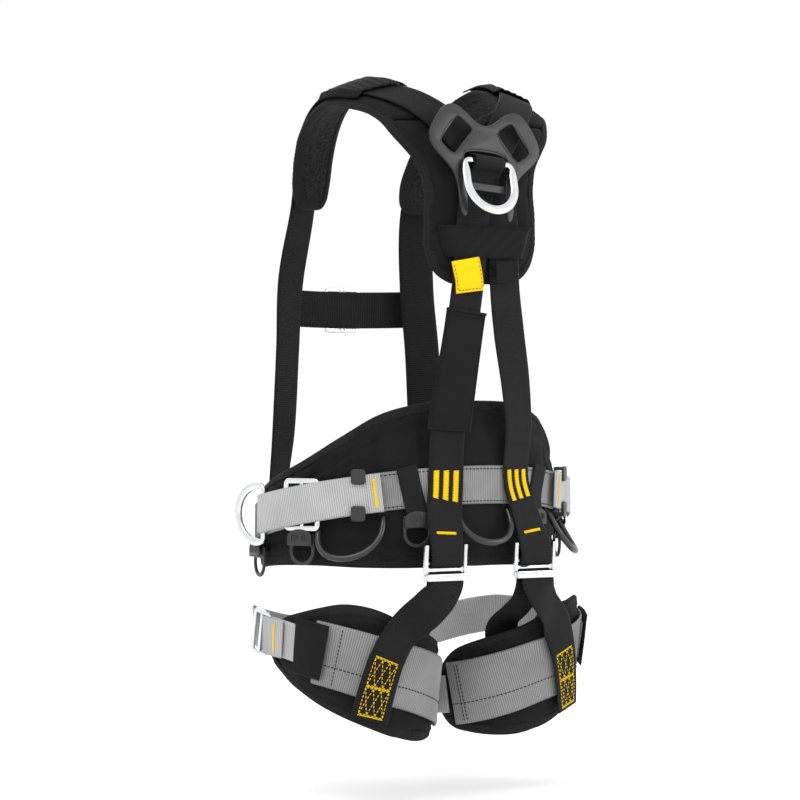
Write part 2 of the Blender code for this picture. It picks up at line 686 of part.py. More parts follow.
# ---------------------------------------------------------------- legs
def leg_band(name, side, stops, width, count, kind, materials):
    """Webbing round a thigh, through stops of angle, height and stand-off."""
    stops = np.array(stops, float)
    angles = np.linspace(stops[0, 0], stops[-1, 0], count + 1)

    def place(i, j):
        height = float(np.interp(angles[i], stops[:, 0], stops[:, 1]))
        stand_off = float(np.interp(angles[i], stops[:, 0], stops[:, 2]))
        return thigh_point(side, angles[i], height + width * (j / 2 - 0.5), stand_off)

    return shell(name, count, 2, place, WEB_THICK, kind, materials)


def make_leg_pad(word, side, materials):
    along, across = 32, 4
    ends = np.linspace(LEG_PAD_INNER, LEG_PAD_OUTER, along + 1)

    def place(i, j):
        low, high = between(LEG_BOTTOM, ends[i])[0], between(LEG_TOP, ends[i])[0]
        into = max(LEG_PAD_INNER + LEG_ROUND - ends[i], ends[i] - LEG_PAD_OUTER + LEG_ROUND) / LEG_ROUND
        low, high = rounded_end(low, high, into)
        return thigh_point(side, ends[i], low + (high - low) * j / across, PAD_THICK / 2)

    return shell(f"leg_pad_{word}", along, across, place, PAD_THICK, "pad_fabric", materials)


def make_leg_straps(word, side, materials):
    top = WEB_ON_PAD + LAYER
    wide = ((-64, 0, WEB_ON_PAD), (58, 0, WEB_ON_PAD))
    pieces = [leg_band(f"leg_webbing_{word}", side, wide, 0.075, 24, "grey_webbing", materials)]
    stops = (
        (44, 0.000, top), (60, 0.003, top), (86, 0.010, top), (100, 0.015, top - 0.002), (126, 0.026, 0.004),
        (180, 0.036, 0.003), (235, 0.024, 0.003), (260, 0.010, 0.003), (277, 0.001, WEB_ON_PAD + 0.0004),
        (293, 0.000, WEB_ON_PAD),
    )
    pieces.append(leg_band(f"leg_front_strap_{word}", side, stops, WEB_WIDTH, 52, "grey_webbing", materials))
    elastic = ((49, 0.002, top + LAYER), (69, 0.004, top + LAYER))
    pieces.append(leg_band(f"leg_keeper_{word}", side, elastic, 0.066, 6, "black_webbing", materials))
    angle = 93
    outward = thigh_normal(side, angle)
    place = outward_frame(thigh_point(side, angle, 0.014, top + 0.0046), outward, (0, 0.18, 1))
    outlines = [
        rounded_box(-0.017, -0.0270, 0.017, 0.0270, 0.004),
        rounded_box(-0.012, -0.0215, -0.002, 0.0215, 0.0015, 2),
        rounded_box(0.003, -0.0215, 0.012, 0.0215, 0.0015, 2),
    ]
    pieces.append(plate(f"leg_buckle_{word}", outlines, 0.0040, "polished_alloy", materials, place))
    return pieces


def riser_bar(side):
    """The middle of the adjuster's lower bar, which the leg riser folds over."""
    return adjuster_place(side) - Vector((0, 0, ADJUSTER_REACH))


def make_leg_riser(word, side, materials):
    """One strap: up from its stitches on the leg pad, over the adjuster's bar, and down inside the thigh."""
    bar = riser_bar(1)
    outward, up = Vector((0, 1, 0)), Vector((0, 0, 1))
    top = WEB_ON_PAD + LAYER
    front = bar + outward * ADJUSTER_FOLD
    outer = [
        facing(thigh_point(1, 21, -0.062, top), thigh_normal(1, 21)),
        facing(thigh_point(1, 17, -0.030, top), thigh_normal(1, 17)),
        facing(thigh_point(1, 10, 0.018, top), thigh_normal(1, 10)),
        facing(thigh_point(1, 3, 0.050, top + 0.002), thigh_normal(1, 3)),
        facing(Vector((0.085, 0.1640, -0.1400)), Vector((0.10, 0.98, 0.20))),
        facing(front + Vector((0.005, 0.000, -0.0160)), outward),
        facing(front - up * 0.006, outward),
    ]
    back = bar - outward * ADJUSTER_FOLD
    inner = [
        facing(back - up * 0.008, -outward),
        facing(back + Vector((0.000, -0.006, -0.024)), Vector((0, -0.97, 0.25))),
        facing(Vector((0.064, 0.1300, -0.1490)), Vector((0.0, -0.93, 0.36))),
        facing(Vector((0.062, 0.1060, -0.1690)), Vector((0.05, -0.93, 0.30))),
        facing(thigh_point(1, -24, 0.030, -0.0108), -thigh_normal(1, -24)),
        facing(thigh_point(1, -27, -0.004, -0.0108), -thigh_normal(1, -27)),
    ]
    rows = np.concatenate([
        smooth(outer, 22),
        fold(bar, outward.cross(up), outward, ADJUSTER_FOLD, 180),
        smooth(inner, 14),
    ])
    rows[:, (0, 3)] *= side
    return ribbon(f"leg_riser_{word}", rows, WEB_WIDTH, "black_webbing", materials)


def make_rear_adjuster(word, side, materials):
    bar, wide, gap = 0.0026, 0.0310, 0.0240  # half a bar's height, half the frame's width and its opening's
    low = -ADJUSTER_REACH
    frame = [
        (-wide, low - bar), (wide, low - bar), (wide, ADJUSTER_ARM), (gap, ADJUSTER_ARM), (gap, bar),
        (-gap, bar), (-gap, ADJUSTER_ARM), (-wide, ADJUSTER_ARM),
    ]
    outlines = [frame, rounded_box(-gap, low + bar, gap, -bar, 0.002, 2)]
    place = outward_frame(adjuster_place(side), Vector((0, 1, 0)))
    return plate(f"rear_adjuster_{word}", outlines, 0.0050, "polished_alloy", materials, place)


def hang(name, place, pieces, parent=None):
    """Parents pieces to an empty on their joint's axis, leaving them where they are."""
    axis = bpy.data.objects.new(name, None)
    axis.matrix_world = place
    bpy.data.collections["harness"].objects.link(axis)
    if parent is not None:
        axis.parent = parent
        axis.matrix_parent_inverse = parent.matrix_world.inverted()
    for piece in pieces:
        piece.parent = axis
        piece.matrix_parent_inverse = place.inverted()
    return axis


def make_legs(materials):
    for word, side in SIDES:
        adjuster = make_rear_adjuster(word, side, materials)
        loop = [make_leg_pad(word, side, materials), *make_leg_straps(word, side, materials)]
        loop.append(make_leg_riser(word, side, materials))
        hinge = hang(f"adjuster_axis_{word}", Matrix.Translation(adjuster_place(side)), [adjuster])
        hang(f"leg_loop_axis_{word}", Matrix.Translation(riser_bar(side)), loop, hinge)


# ---------------------------------------------------------------- chest and front
def make_front(materials):
    strap = [
        [0.100, -0.1250, 0.212, 0.25, -0.97, 0.0],
        [0.070, -0.1340, 0.211, 0.18, -0.98, 0.0],
        [0.000, -0.1400, 0.210, 0.00, -1.00, 0.0],
        [-0.070, -0.1340, 0.211, -0.18, -0.98, 0.0],
        [-0.100, -0.1250, 0.212, -0.25, -0.97, 0.0],
    ]
    ribbon("chest_strap", smooth(strap, 16), WEB_WIDTH, "black_webbing", materials)
    frame = [
        rounded_box(-0.027, -0.0280, 0.027, 0.0280, 0.005),
        rounded_box(-0.021, -0.0225, -0.006, 0.0225, 0.0015, 2),
        rounded_box(0.006, -0.0225, 0.021, 0.0225, 0.0015, 2),
    ]
    chest = outward_frame(Vector((0.0, -0.1436, 0.210)), Vector((0, -1, 0)))
    plate("chest_buckle", frame, 0.0040, "polished_alloy", materials, chest)
    waist = outward_frame(waist_point(180, 0.0, 0.0070), Vector((0, -1, 0)))
    plate("front_buckle", frame, 0.0040, "polished_alloy", materials, waist)


# ---------------------------------------------------------------- main
def clear_scene():
    for old in list(bpy.data.objects):
        bpy.data.objects.remove(old, do_unlink=True)
    group = bpy.data.collections.new("harness")
    bpy.context.scene.collection.children.link(group)


def main():
    clear_scene()
    materials = make_materials()
    make_yoke(materials)
    make_main_straps(materials)
    make_band_and_sleeves(materials)
    make_dorsal_plate(materials)
    make_dorsal_ring(materials)
    make_back_labels(materials)
    make_belt_pad(materials)
    make_waist_webbing(materials)
    make_side_straps(materials)
    make_gear_loops(materials)
    make_accessory_loops(materials)
    make_legs(materials)
    make_front(materials)


main()
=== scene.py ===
"""The looks of a full-body climbing harness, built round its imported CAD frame.

Metres, +Z up. The wearer faces -Y and the wearer's left is +X.
"""

from math import cos, pi, radians, sin, sqrt

import bmesh
import bpy
import numpy as np
from mathutils import Matrix, Vector


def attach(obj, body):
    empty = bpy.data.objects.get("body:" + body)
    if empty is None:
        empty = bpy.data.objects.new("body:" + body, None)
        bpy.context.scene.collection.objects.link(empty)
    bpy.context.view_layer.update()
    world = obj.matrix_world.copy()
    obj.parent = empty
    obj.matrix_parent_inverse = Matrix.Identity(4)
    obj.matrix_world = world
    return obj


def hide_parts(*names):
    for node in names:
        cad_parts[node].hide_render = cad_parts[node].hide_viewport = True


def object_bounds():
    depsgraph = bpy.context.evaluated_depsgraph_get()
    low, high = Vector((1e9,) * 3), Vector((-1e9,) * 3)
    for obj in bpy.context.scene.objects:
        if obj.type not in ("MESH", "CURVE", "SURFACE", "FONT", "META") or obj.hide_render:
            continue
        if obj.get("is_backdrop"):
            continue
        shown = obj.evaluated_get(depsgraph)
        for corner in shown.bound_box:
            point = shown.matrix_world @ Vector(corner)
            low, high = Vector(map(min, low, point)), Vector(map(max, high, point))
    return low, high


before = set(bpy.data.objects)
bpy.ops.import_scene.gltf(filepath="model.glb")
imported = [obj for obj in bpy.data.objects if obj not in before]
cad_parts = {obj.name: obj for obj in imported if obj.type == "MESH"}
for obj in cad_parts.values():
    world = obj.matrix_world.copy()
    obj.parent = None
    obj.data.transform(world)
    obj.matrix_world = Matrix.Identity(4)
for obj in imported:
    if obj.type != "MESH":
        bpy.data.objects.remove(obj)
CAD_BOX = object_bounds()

# ---------------------------------------------------------------- sizes that the CAD model is built on
WEB_WIDTH = 0.045
WEB_THICK = 0.0022
LAYER = 0.0038  # from the middle of one webbing layer to the next
PAD_THICK = 0.014
PAD_TO_WEB = 0.0026
WEB_ON_PAD = PAD_THICK + PAD_TO_WEB
WAIST_HALF_WIDTH = 0.178
WAIST_HALF_DEPTH = 0.134
BELT_SINK = 0.034
BELT_END = 122.0
BELT_ROUND = 14.0
BELT_TOP = (
    (0, 0.097), (23, 0.096), (40, 0.088), (55, 0.071), (75, 0.052), (98, 0.044), (122, 0.040),
)
BELT_BOTTOM = ((0, -0.094), (28, -0.091), (46, -0.084), (68, -0.071), (97, -0.057), (122, -0.050))
BELT_LEAN = 0.14
THIGH_OUT = 0.1035
THIGH_BACK = 0.012
THIGH_HALF_WIDTH = 0.082
THIGH_HALF_DEPTH = 0.108
THIGH_FULLNESS = 2.4
THIGH_TAPER = 0.08
LEG_LOOP_HEIGHT = -0.220
LEG_LOOP_RISE = 0.034
LEG_PAD_INNER = -78.0
LEG_PAD_OUTER = 96.0
LEG_ROUND = 16.0
LEG_TOP = (
    (-78, 0.042), (-62, 0.053), (-11, 0.060), (18, 0.067), (40, 0.061), (56, 0.050), (77, 0.036), (96, 0.026),
)
LEG_BOTTOM = (
    (-78, -0.036), (-62, -0.043), (-37, -0.057), (-11, -0.069), (18, -0.070), (43, -0.067), (58, -0.062),
    (77, -0.049), (96, -0.030),
)
BACK_CAMBER = 0.8
SHOULDER_CAMBER = 1.7
YOKE_PROFILE = (
    (0.148, 0.234), (0.150, 0.266), (0.151, 0.300), (0.149, 0.340), (0.143, 0.380), (0.133, 0.415),
    (0.116, 0.443), (0.082, 0.467), (0.040, 0.478), (-0.004, 0.470), (-0.044, 0.447), (-0.076, 0.410),
    (-0.096, 0.365), (-0.104, 0.325),
)
YOKE_OUTLINE = (
    (0.000, 0.000, 0.040), (0.006, 0.000, 0.055), (0.018, 0.000, 0.069), (0.036, 0.000, 0.077),
    (0.070, 0.000, 0.079), (0.120, 0.000, 0.079), (0.142, 0.000, 0.086), (0.160, 0.000, 0.099),
    (0.178, 0.000, 0.112), (0.195, 0.000, 0.119), (0.206, 0.030, 0.124), (0.220, 0.050, 0.129),
    (0.245, 0.061, 0.134), (0.284, 0.068, 0.137), (0.327, 0.071, 0.138), (0.369, 0.070, 0.136),
    (0.414, 0.064, 0.131), (0.460, 0.057, 0.122), (0.502, 0.054, 0.113), (0.518, 0.057, 0.106),
    (0.529, 0.067, 0.096),
)
NECK_START = 0.1955
STRAP_ON_YOKE = PAD_THICK / 2 + PAD_TO_WEB
CROSSING = 0.0035
STRAP_ON_SHOULDER = (
    (0.518, 0.083), (0.476, 0.086), (0.432, 0.094), (0.379, 0.102), (0.327, 0.105), (0.282, 0.101),
    (0.245, 0.090), (0.218, 0.072), (0.190, 0.046), (0.160, 0.019), (0.130, -0.004), (0.100, -0.017),
    (0.068, -0.023), (0.034, -0.025), (0.004, -0.027),
)
RING_FOLD = 0.0062
RING_THICK = 0.006
ADJUSTER = Vector((0.0645, 0.166, -0.089))
ADJUSTER_FOLD = 0.0052
ADJUSTER_REACH = 0.016
ADJUSTER_ARM = 0.021
SIDE_RING_ANGLE = 91.0
SIDE_RING_SWING = 13.0
SIDE_STRAP = WEB_ON_PAD + LAYER
PLATE_LENGTH = 0.137
PLATE_STAND_OFF = 0.0203
PLATE_SHIFT = 0.006
PLATE_TURN = -5.0
RING_LIFT = 0.0056
RING_TILT = -9.0
SIDES = (("left", 1), ("right", -1))
UP = Vector((0, 0, 1))

# ---------------------------------------------------------------- sizes of the finer work
RIB = 0.0026  # pitch of the webbing's ribs
RIB_HEIGHT = 0.00016
BINDING = 0.0105  # width of the tape round a pad's edge
PAD_EDGE = 0.0052  # a pad's thickness under that tape
PAD_MIDDLE = 0.0122
STITCH = 0.0030
STITCH_GAP = 0.0013
CELL = 0.0050  # a pad's mesh before it is simulated
PUFF_MOST = 0.0024  # the most that a point of a pad moves in the simulation
SEAM_THREAD = 0.0004
WEB_THREAD = 0.00045
TACK_THREAD = 0.0005
BOX_THREAD = 0.00036
THREAD_SIDES = 6
THREAD_PROFILE = ((0.0, 0.35), (0.18, 1.0), (0.82, 1.0), (1.0, 0.35))
YOKE_STEPS = 120


# ---------------------------------------------------------------- curves and surfaces, as in the CAD model
def walked_along(points):
    """The distance walked to each point."""
    return np.concatenate([[0.0], np.cumsum(np.linalg.norm(np.diff(points, axis=0), axis=1))])


def hermite(rows, slope, k, gap, t):
    """The smooth curve through rows, t of the way from row k to the next, which are gap apart."""
    return (
        (2 * t**3 - 3 * t**2 + 1) * rows[k]
        + (t**3 - 2 * t**2 + t) * gap * slope[k]
        + (3 * t**2 - 2 * t**3) * rows[k + 1]
        + (t**3 - t**2) * gap * slope[k + 1]
    )


def smooth(rows, count):
    """count + 1 samples, evenly spaced, of the smooth curve through rows, by their first three columns."""
    rows = np.array(rows, float)
    along = walked_along(rows[:, :3])
    slope = np.gradient(rows, along, axis=0)
    at = np.linspace(0.0, along[-1], max(30 * len(rows), 2 * count))
    k = np.clip(np.searchsorted(along, at, "right") - 1, 0, len(rows) - 2)
    gap = (along[k + 1] - along[k])[:, None]
    fine = hermite(rows, slope, k, gap, (at - along[k])[:, None] / gap)
    walked = walked_along(fine[:, :3])
    even = np.linspace(0.0, walked[-1], count + 1)
    return np.stack([np.interp(even, walked, column) for column in fine.T], axis=1)


def between(rows, x):
    """The columns after the first, interpolated smoothly at x in the first column."""
    rows = np.array(rows, float)
    slope = np.gradient(rows, rows[:, 0], axis=0)
    x = min(max(x, rows[0, 0]), rows[-1, 0])
    k = min(max(int(np.searchsorted(rows[:, 0], x, "right")) - 1, 0), len(rows) - 2)
    gap = rows[k + 1, 0] - rows[k, 0]
    return hermite(rows, slope, k, gap, (x - rows[k, 0]) / gap)[1:]


def ease(t):
    t = np.clip(t, 0.0, 1.0)
    return t * t * (3 - 2 * t)


def waist_normal(angle):
    a = radians(angle)
    return Vector((sin(a) / WAIST_HALF_WIDTH, cos(a) / WAIST_HALF_DEPTH, 0.0)).normalized()


def waist_point(angle, height, stand_off):
    a = radians(angle)
    ring = Vector((WAIST_HALF_WIDTH * sin(a), WAIST_HALF_DEPTH * cos(a), 0.0))
    sink = BELT_SINK * (1 - cos(a))
    return ring + waist_normal(angle) * stand_off + Vector((0, 0, height - sink))


def power(value, exponent):
    """A power that keeps the sign of value."""
    return abs(value) ** exponent * (1 if value > 0 else -1)


def thigh_normal(side, angle):
    x, y = sin(radians(angle)), cos(radians(angle))
    squarer = 2 - 2 / THIGH_FULLNESS
    across = power(x, squarer) / THIGH_HALF_WIDTH
    back = power(y, squarer) / THIGH_HALF_DEPTH
    return Vector((side * across, back, 0.0)).normalized()


def thigh_point(side, angle, height, stand_off):
    x, y = sin(radians(angle)), cos(radians(angle))
    round_off = 2 / THIGH_FULLNESS
    across, back = power(x, round_off) * THIGH_HALF_WIDTH, power(y, round_off) * THIGH_HALF_DEPTH
    ring = Vector((side * across, back, 0.0)) * (1 + THIGH_TAPER * height / THIGH_HALF_WIDTH)
    middle = Vector((side * THIGH_OUT, THIGH_BACK, LEG_LOOP_HEIGHT + LEG_LOOP_RISE * x + height))
    return middle + ring + thigh_normal(side, angle) * stand_off


YOKE_PATH = smooth([(0.0, y, z) for y, z in YOKE_PROFILE], YOKE_STEPS)
YOKE_LENGTH = float(np.linalg.norm(np.diff(YOKE_PATH, axis=0), axis=1).sum())


def yoke_middle(u, length):
    at = min(max(length / YOKE_LENGTH, 0.0), 1.0) * YOKE_STEPS
    k = min(int(at), YOKE_STEPS - 1)
    here = YOKE_PATH[k] + (YOKE_PATH[k + 1] - YOKE_PATH[k]) * (at - k)
    run = YOKE_PATH[min(k + 4, YOKE_STEPS)] - YOKE_PATH[max(k - 3, 0)]
    outward = Vector((0.0, run[2], -run[1])).normalized()
    over = min(max((length - 0.18) / 0.10, 0.0), 1.0)
    camber = BACK_CAMBER + (SHOULDER_CAMBER - BACK_CAMBER) * over * over * (3 - 2 * over)
    return Vector((u, here[1], here[2])) - outward * camber * u * u


def yoke_normal(u, length):
    step = 0.002
    across = yoke_middle(u + step, length) - yoke_middle(u - step, length)
    length = min(max(length, step), YOKE_LENGTH - step)
    along = yoke_middle(u, length + step) - yoke_middle(u, length - step)
    return along.cross(across).normalized()


def yoke_point(u, length, stand_off):
    return yoke_middle(u, length) + yoke_normal(u, length) * stand_off


def outward_frame(place, outward, up=(0, 0, 1)):
    """A frame at place: local Z is outward, local Y is up as nearly as it can be, local X is to the right."""
    z = Vector(outward).normalized()
    y = (Vector(up) - z * Vector(up).dot(z)).normalized()
    x = y.cross(z)
    made = Matrix((x, y, z)).transposed().to_4x4()
    made.translation = place
    return made


def facing(point, normal):
    return [*point, *normal]


def fold(centre, axis, start, radius, turn, steps=10):
    """Rows of a webbing fold about axis: from start, a direction, turning by turn degrees."""
    rows = []
    for k in range(steps + 1):
        way = Matrix.Rotation(radians(turn) * k / steps, 3, axis) @ Vector(start).normalized()
        rows.append(facing(Vector(centre) + way * radius, way))
    return rows


# ---------------------------------------------------------------- materials
def node(tree, kind, **inputs):
    made = tree.nodes.new(kind)
    for key, value in inputs.items():
        name = key.replace("_", " ")
        if name in made.inputs:
            made.inputs[name].default_value = value
        else:
            setattr(made, key, value)
    return made


def sums(tree, operation, first, second=None):
    made = node(tree, "ShaderNodeMath", operation=operation)
    for k, value in enumerate((first, second)):
        if value is None:
            continue
        if isinstance(value, (int, float)):
            made.inputs[k].default_value = value
        else:
            tree.links.new(value, made.inputs[k])
    return made.outputs[0]


def total(tree, *parts):
    """The sum of values, each times its weight."""
    made = sums(tree, "MULTIPLY", *parts[0])
    for part in parts[1:]:
        made = sums(tree, "ADD", made, sums(tree, "MULTIPLY", *part))
    return made


def wave_along(tree, coordinate, pitch):
    """A sine, from 0 to 1, with this pitch in metres."""
    turned = sums(tree, "SINE", sums(tree, "MULTIPLY", coordinate, 2 * pi / pitch))
    return sums(tree, "ADD", sums(tree, "MULTIPLY", turned, 0.5), 0.5)


def shader_of(name, roughness, metallic=0.0, sheen=0.0, coat=0.0, gloss=0.5):
    made = bpy.data.materials.new(name)
    made.use_nodes = True
    shader = made.node_tree.nodes["Principled BSDF"]
    shader.inputs["Roughness"].default_value = roughness
    shader.inputs["Metallic"].default_value = metallic
    shader.inputs["Sheen Weight"].default_value = sheen
    shader.inputs["Sheen Roughness"].default_value = 0.5
    shader.inputs["Coat Weight"].default_value = coat
    shader.inputs["Specular IOR Level"].default_value = gloss
    return made, made.node_tree, shader


def colour_of(tree, dark, light, factor, shader):
    mix = tree.nodes.new("ShaderNodeMix")
    mix.data_type = "RGBA"
    mix.inputs["A"].default_value = (*dark, 1)
    mix.inputs["B"].default_value = (*light, 1)
    tree.links.new(factor, mix.inputs["Factor"])
    tree.links.new(mix.outputs["Result"], shader.inputs["Base Color"])


def bump_of(tree, height, distance, shader):
    made = node(tree, "ShaderNodeBump", Strength=1.0, Distance=distance)
    tree.links.new(height, made.inputs["Height"])
    tree.links.new(made.outputs["Normal"], shader.inputs["Normal"])


def noise_at(tree, scale, detail=4.0):
    place = tree.nodes.new("ShaderNodeTexCoord")
    made = node(tree, "ShaderNodeTexNoise", Scale=scale, Detail=detail)
    tree.links.new(place.outputs["Object"], made.inputs["Vector"])
    return made.outputs["Fac"]


def woven(name, dark, light, warp, weft, roughness=0.85, sheen=0.02, depth=0.00025, ribbed=False):
    """Cloth whose UVs are in metres: U across and V along. Ribbed cloth has its weft standing in ribs."""
    made, tree, shader = shader_of(name, roughness, sheen=sheen, gloss=0.12)
    place = tree.nodes.new("ShaderNodeTexCoord")
    split = tree.nodes.new("ShaderNodeSeparateXYZ")
    tree.links.new(place.outputs["UV"], split.inputs[0])
    u = wave_along(tree, split.outputs[0], warp)
    v = wave_along(tree, split.outputs[1], weft)
    if ribbed:
        weave = total(tree, (v, 0.7), (u, 0.3))
    else:
        weave = total(tree, (u, v), (sums(tree, "SUBTRACT", 1.0, u), sums(tree, "SUBTRACT", 1.0, v)))
    fuzz = noise_at(tree, 900.0, 2.0)
    # Colour: the weave term is a painted highlight on the raised threads and painted shade in the gaps
    # between them; the two noise terms add the cloth's own random tone.
    weave_shade_and_tone = total(tree, (weave, 0.50), (noise_at(tree, 22.0), 0.34), (fuzz, 0.16))
    colour_of(tree, dark, light, weave_shade_and_tone, shader)
    bump_of(tree, sums(tree, "ADD", weave, sums(tree, "MULTIPLY", fuzz, 0.4)), depth, shader)
    return made


def spacer_mesh(name, dark, light):
    """Open mesh lining, as on the side of a pad that lies on the body."""
    made, tree, shader = shader_of(name, 0.9, sheen=0.02, gloss=0.1)
    place = tree.nodes.new("ShaderNodeTexCoord")
    cells = node(tree, "ShaderNodeTexVoronoi", Scale=260.0)
    tree.links.new(place.outputs["Object"], cells.inputs["Vector"])
    hole = sums(tree, "MULTIPLY", cells.outputs["Distance"], 1.6)
    colour_of(tree, dark, light, hole, shader)
    bump_of(tree, hole, 0.0008, shader)
    return made


def moulded(name, dark, light, roughness, grain, coat=0.0):
    made, tree, shader = shader_of(name, roughness, coat=coat)
    colour_of(tree, dark, light, noise_at(tree, 60.0), shader)
    bump_of(tree, noise_at(tree, 1400.0, 2.0), grain, shader)
    return made


def polished(name, dark, light):
    """Polished alloy: faint brushing and handling marks."""
    made, tree, shader = shader_of(name, 0.22, metallic=1.0)
    wear = noise_at(tree, 90.0, 6.0)
    colour_of(tree, dark, light, wear, shader)
    rough = sums(tree, "ADD", sums(tree, "MULTIPLY", wear, 0.22), 0.10)
    tree.links.new(rough, shader.inputs["Roughness"])
    bump_of(tree, noise_at(tree, 420.0, 3.0), 0.00006, shader)
    return made


def make_materials():
    yellow = (0.72, 0.45, 0.001), (0.96, 0.64, 0.002)
    near_black = (0.0015, 0.0015, 0.0016)
    # For each woven cloth the second colour lands on its raised threads and the first between them, so the
    # step between the two is painted highlight and painted shade as well as random tone.
    return {
        "pad": woven("pad_cloth", near_black, (0.018, 0.018, 0.019), 0.0016, 0.0016),
        "tape": woven("binding_tape", near_black, (0.026, 0.026, 0.0275), 0.0018, 0.0018, ribbed=True),
        "lining": spacer_mesh("lining_mesh", (0.002, 0.002, 0.0022), (0.022, 0.022, 0.0235)),
        "black": woven("black_web", (0.0006, 0.0006, 0.0007), (0.018, 0.018, 0.019), 0.0011, RIB, 0.6,
                       ribbed=True),
        "grey": woven("grey_web", (0.035, 0.035, 0.037), (0.40, 0.40, 0.405), 0.0013, RIB, 0.7, ribbed=True),
        "light": woven("light_web", (0.12, 0.12, 0.123), (0.66, 0.66, 0.665), 0.0013, RIB, 0.6, ribbed=True),
        "cover": woven("cover_cloth", near_black, (0.017, 0.017, 0.018), 0.0018, 0.0018, 0.8),
        "tag": woven("tag_cloth", (0.80, 0.50, 0.001), (1.0, 0.66, 0.003), 0.0008, 0.0008, 0.6, 0.0, 0.0001),
        "yellow_thread": woven("yellow_thread", *yellow, 0.0004, 0.0006, 0.55, 0.0, 0.00005),
        "black_thread": woven("black_thread", (0.002, 0.002, 0.0022), (0.016, 0.016, 0.017), 0.0004, 0.0006,
                              0.6),
        "plate": moulded("dark_nylon", (0.010, 0.010, 0.0105), (0.020, 0.020, 0.021), 0.40, 0.00006),
        "tube": moulded("loop_tube", (0.008, 0.008, 0.0085), (0.016, 0.016, 0.017), 0.30, 0.00003, coat=0.2),
        "clip": moulded("clip_nylon", (0.012, 0.012, 0.0125), (0.022, 0.022, 0.023), 0.42, 0.00008),
        "alloy": polished("polished_alloy", (0.62, 0.63, 0.65), (0.88, 0.88, 0.89)),
    }


MATERIALS = make_materials()


# ---------------------------------------------------------------- making pieces
def put(name, data):
    made = bpy.data.objects.new(name, data)
    bpy.context.scene.collection.objects.link(made)
    return made


def add_piece(name, points, faces, kind, body, uvs, replaces=(), back=()):
    """A piece that rides on body; uvs are one for each point, in metres; back lists the faces of lining."""
    mesh = bpy.data.meshes.new(name)
    mesh.from_pydata([tuple(p) for p in points], [], faces)
    layer = mesh.uv_layers.new(name="UVMap")
    corner = np.zeros(len(mesh.loops), np.int32)
    mesh.loops.foreach_get("vertex_index", corner)
    layer.data.foreach_set("uv", np.array(uvs, np.float32)[corner].ravel())
    mesh.materials.append(MATERIALS[kind])
    if back:
        mesh.materials.append(MATERIALS["lining"])
        chosen = np.zeros(len(mesh.polygons), np.int32)
        chosen[list(back)] = 1
        mesh.polygons.foreach_set("material_index", chosen)
    mesh.shade_smooth()
    return settle(put(name, mesh), body, replaces)


def settle(made, body, replaces):
    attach(made, body)
    if replaces:
        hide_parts(*replaces)
    return made


def settle_moulding(name, mesh, place, sharp, kind, body, replaces):
    """Places a mesh made about its own origin; edges sharper than this many degrees stay sharp."""
    mesh.transform(place)
    mesh.materials.clear()
    mesh.materials.append(MATERIALS[kind])
    mesh.shade_smooth()
    mesh.set_sharp_from_angle(angle=radians(sharp))
    return settle(put(name, mesh), body, replaces)


def skin(count, around, closed=False):
    """Faces between count rings of points, with end caps unless the rings close on themselves."""
    faces = []
    for i in range(count if closed else count - 1):
        here, there = i * around, ((i + 1) % count) * around
        for j in range(around):
            k = (j + 1) % around
            faces.append((here + j, here + k, there + k, there + j))
    if not closed:
        faces.append(tuple(range(around))[::-1])
        faces.append(tuple(range((count - 1) * around, count * around)))
    return faces


def shell_faces(tall, wide):
    """The faces of a closed shell: a grid of points, the same grid again behind it, and the rim; and which of
    the faces are its back."""
    count = tall * wide
    faces, back = [], []
    for i in range(tall - 1):
        for j in range(wide - 1):
            a = i * wide + j
            b, c, d = a + 1, a + wide + 1, a + wide
            faces.append((a, b, c, d))
            back.append(len(faces))
            faces.append((count + a, count + d, count + c, count + b))
    rim = [*range(wide), *(i * wide + wide - 1 for i in range(1, tall))]
    rim += [*(count - wide + j for j in range(wide - 2, -1, -1)), *(i * wide for i in range(tall - 2, 0, -1))]
    for a, b in zip(rim, rim[1:] + rim[:1], strict=True):
        faces.append((b, a, count + a, count + b))
    return faces, back


def strap_frames(rows):
    """Centre, side, outward and distance at even steps along rows."""
    rows = np.array(rows, float)
    length = np.linalg.norm(np.diff(rows[:, :3], axis=0), axis=1).sum()
    count = max(int(length / RIB * 4), 8)
    rows = smooth(rows, count)
    run = np.gradient(rows[:, :3], axis=0)
    side = np.cross(run, rows[:, 3:6])
    side /= np.linalg.norm(side, axis=1)[:, None]
    outward = np.cross(side, run)
    outward /= np.linalg.norm(outward, axis=1)[:, None]
    return rows[:, :3], side, outward, np.linspace(0, length, count + 1)


def webbing(name, rows, kind, body, width=WEB_WIDTH, thick=WEB_THICK, replaces=(), rib=RIB_HEIGHT, cup=0.0):
    """Ribbed webbing with rolled selvedges along rows; cup bows it across."""
    centre, side, outward, along = strap_frames(rows)
    ring = [(a, 1.0 if abs(a) < 0.99 else 0.0) for a in np.sin(np.linspace(-pi / 2, pi / 2, 9))]
    ring += [(a, -h) for a, h in ring[-2:0:-1]]
    half = width / 2
    points, uvs = [], []
    for i in range(len(centre)):
        wave = rib * cos(2 * pi * along[i] / RIB)
        drift = 0.0003 * sin(along[i] * 31 + width * 900)
        for a, h in ring:
            edge = 1.0 + 0.10 * (abs(a) > 0.85) - 0.12 * (0.6 < abs(a) <= 0.85)
            t = h * (thick / 2 * edge + wave) + cup * (1 - a * a) + drift * a
            points.append(centre[i] + side[i] * half * a + outward[i] * t)
            uvs.append((half * a, along[i]))
    return add_piece(name, points, skin(len(centre), len(ring)), kind, body, uvs, replaces)


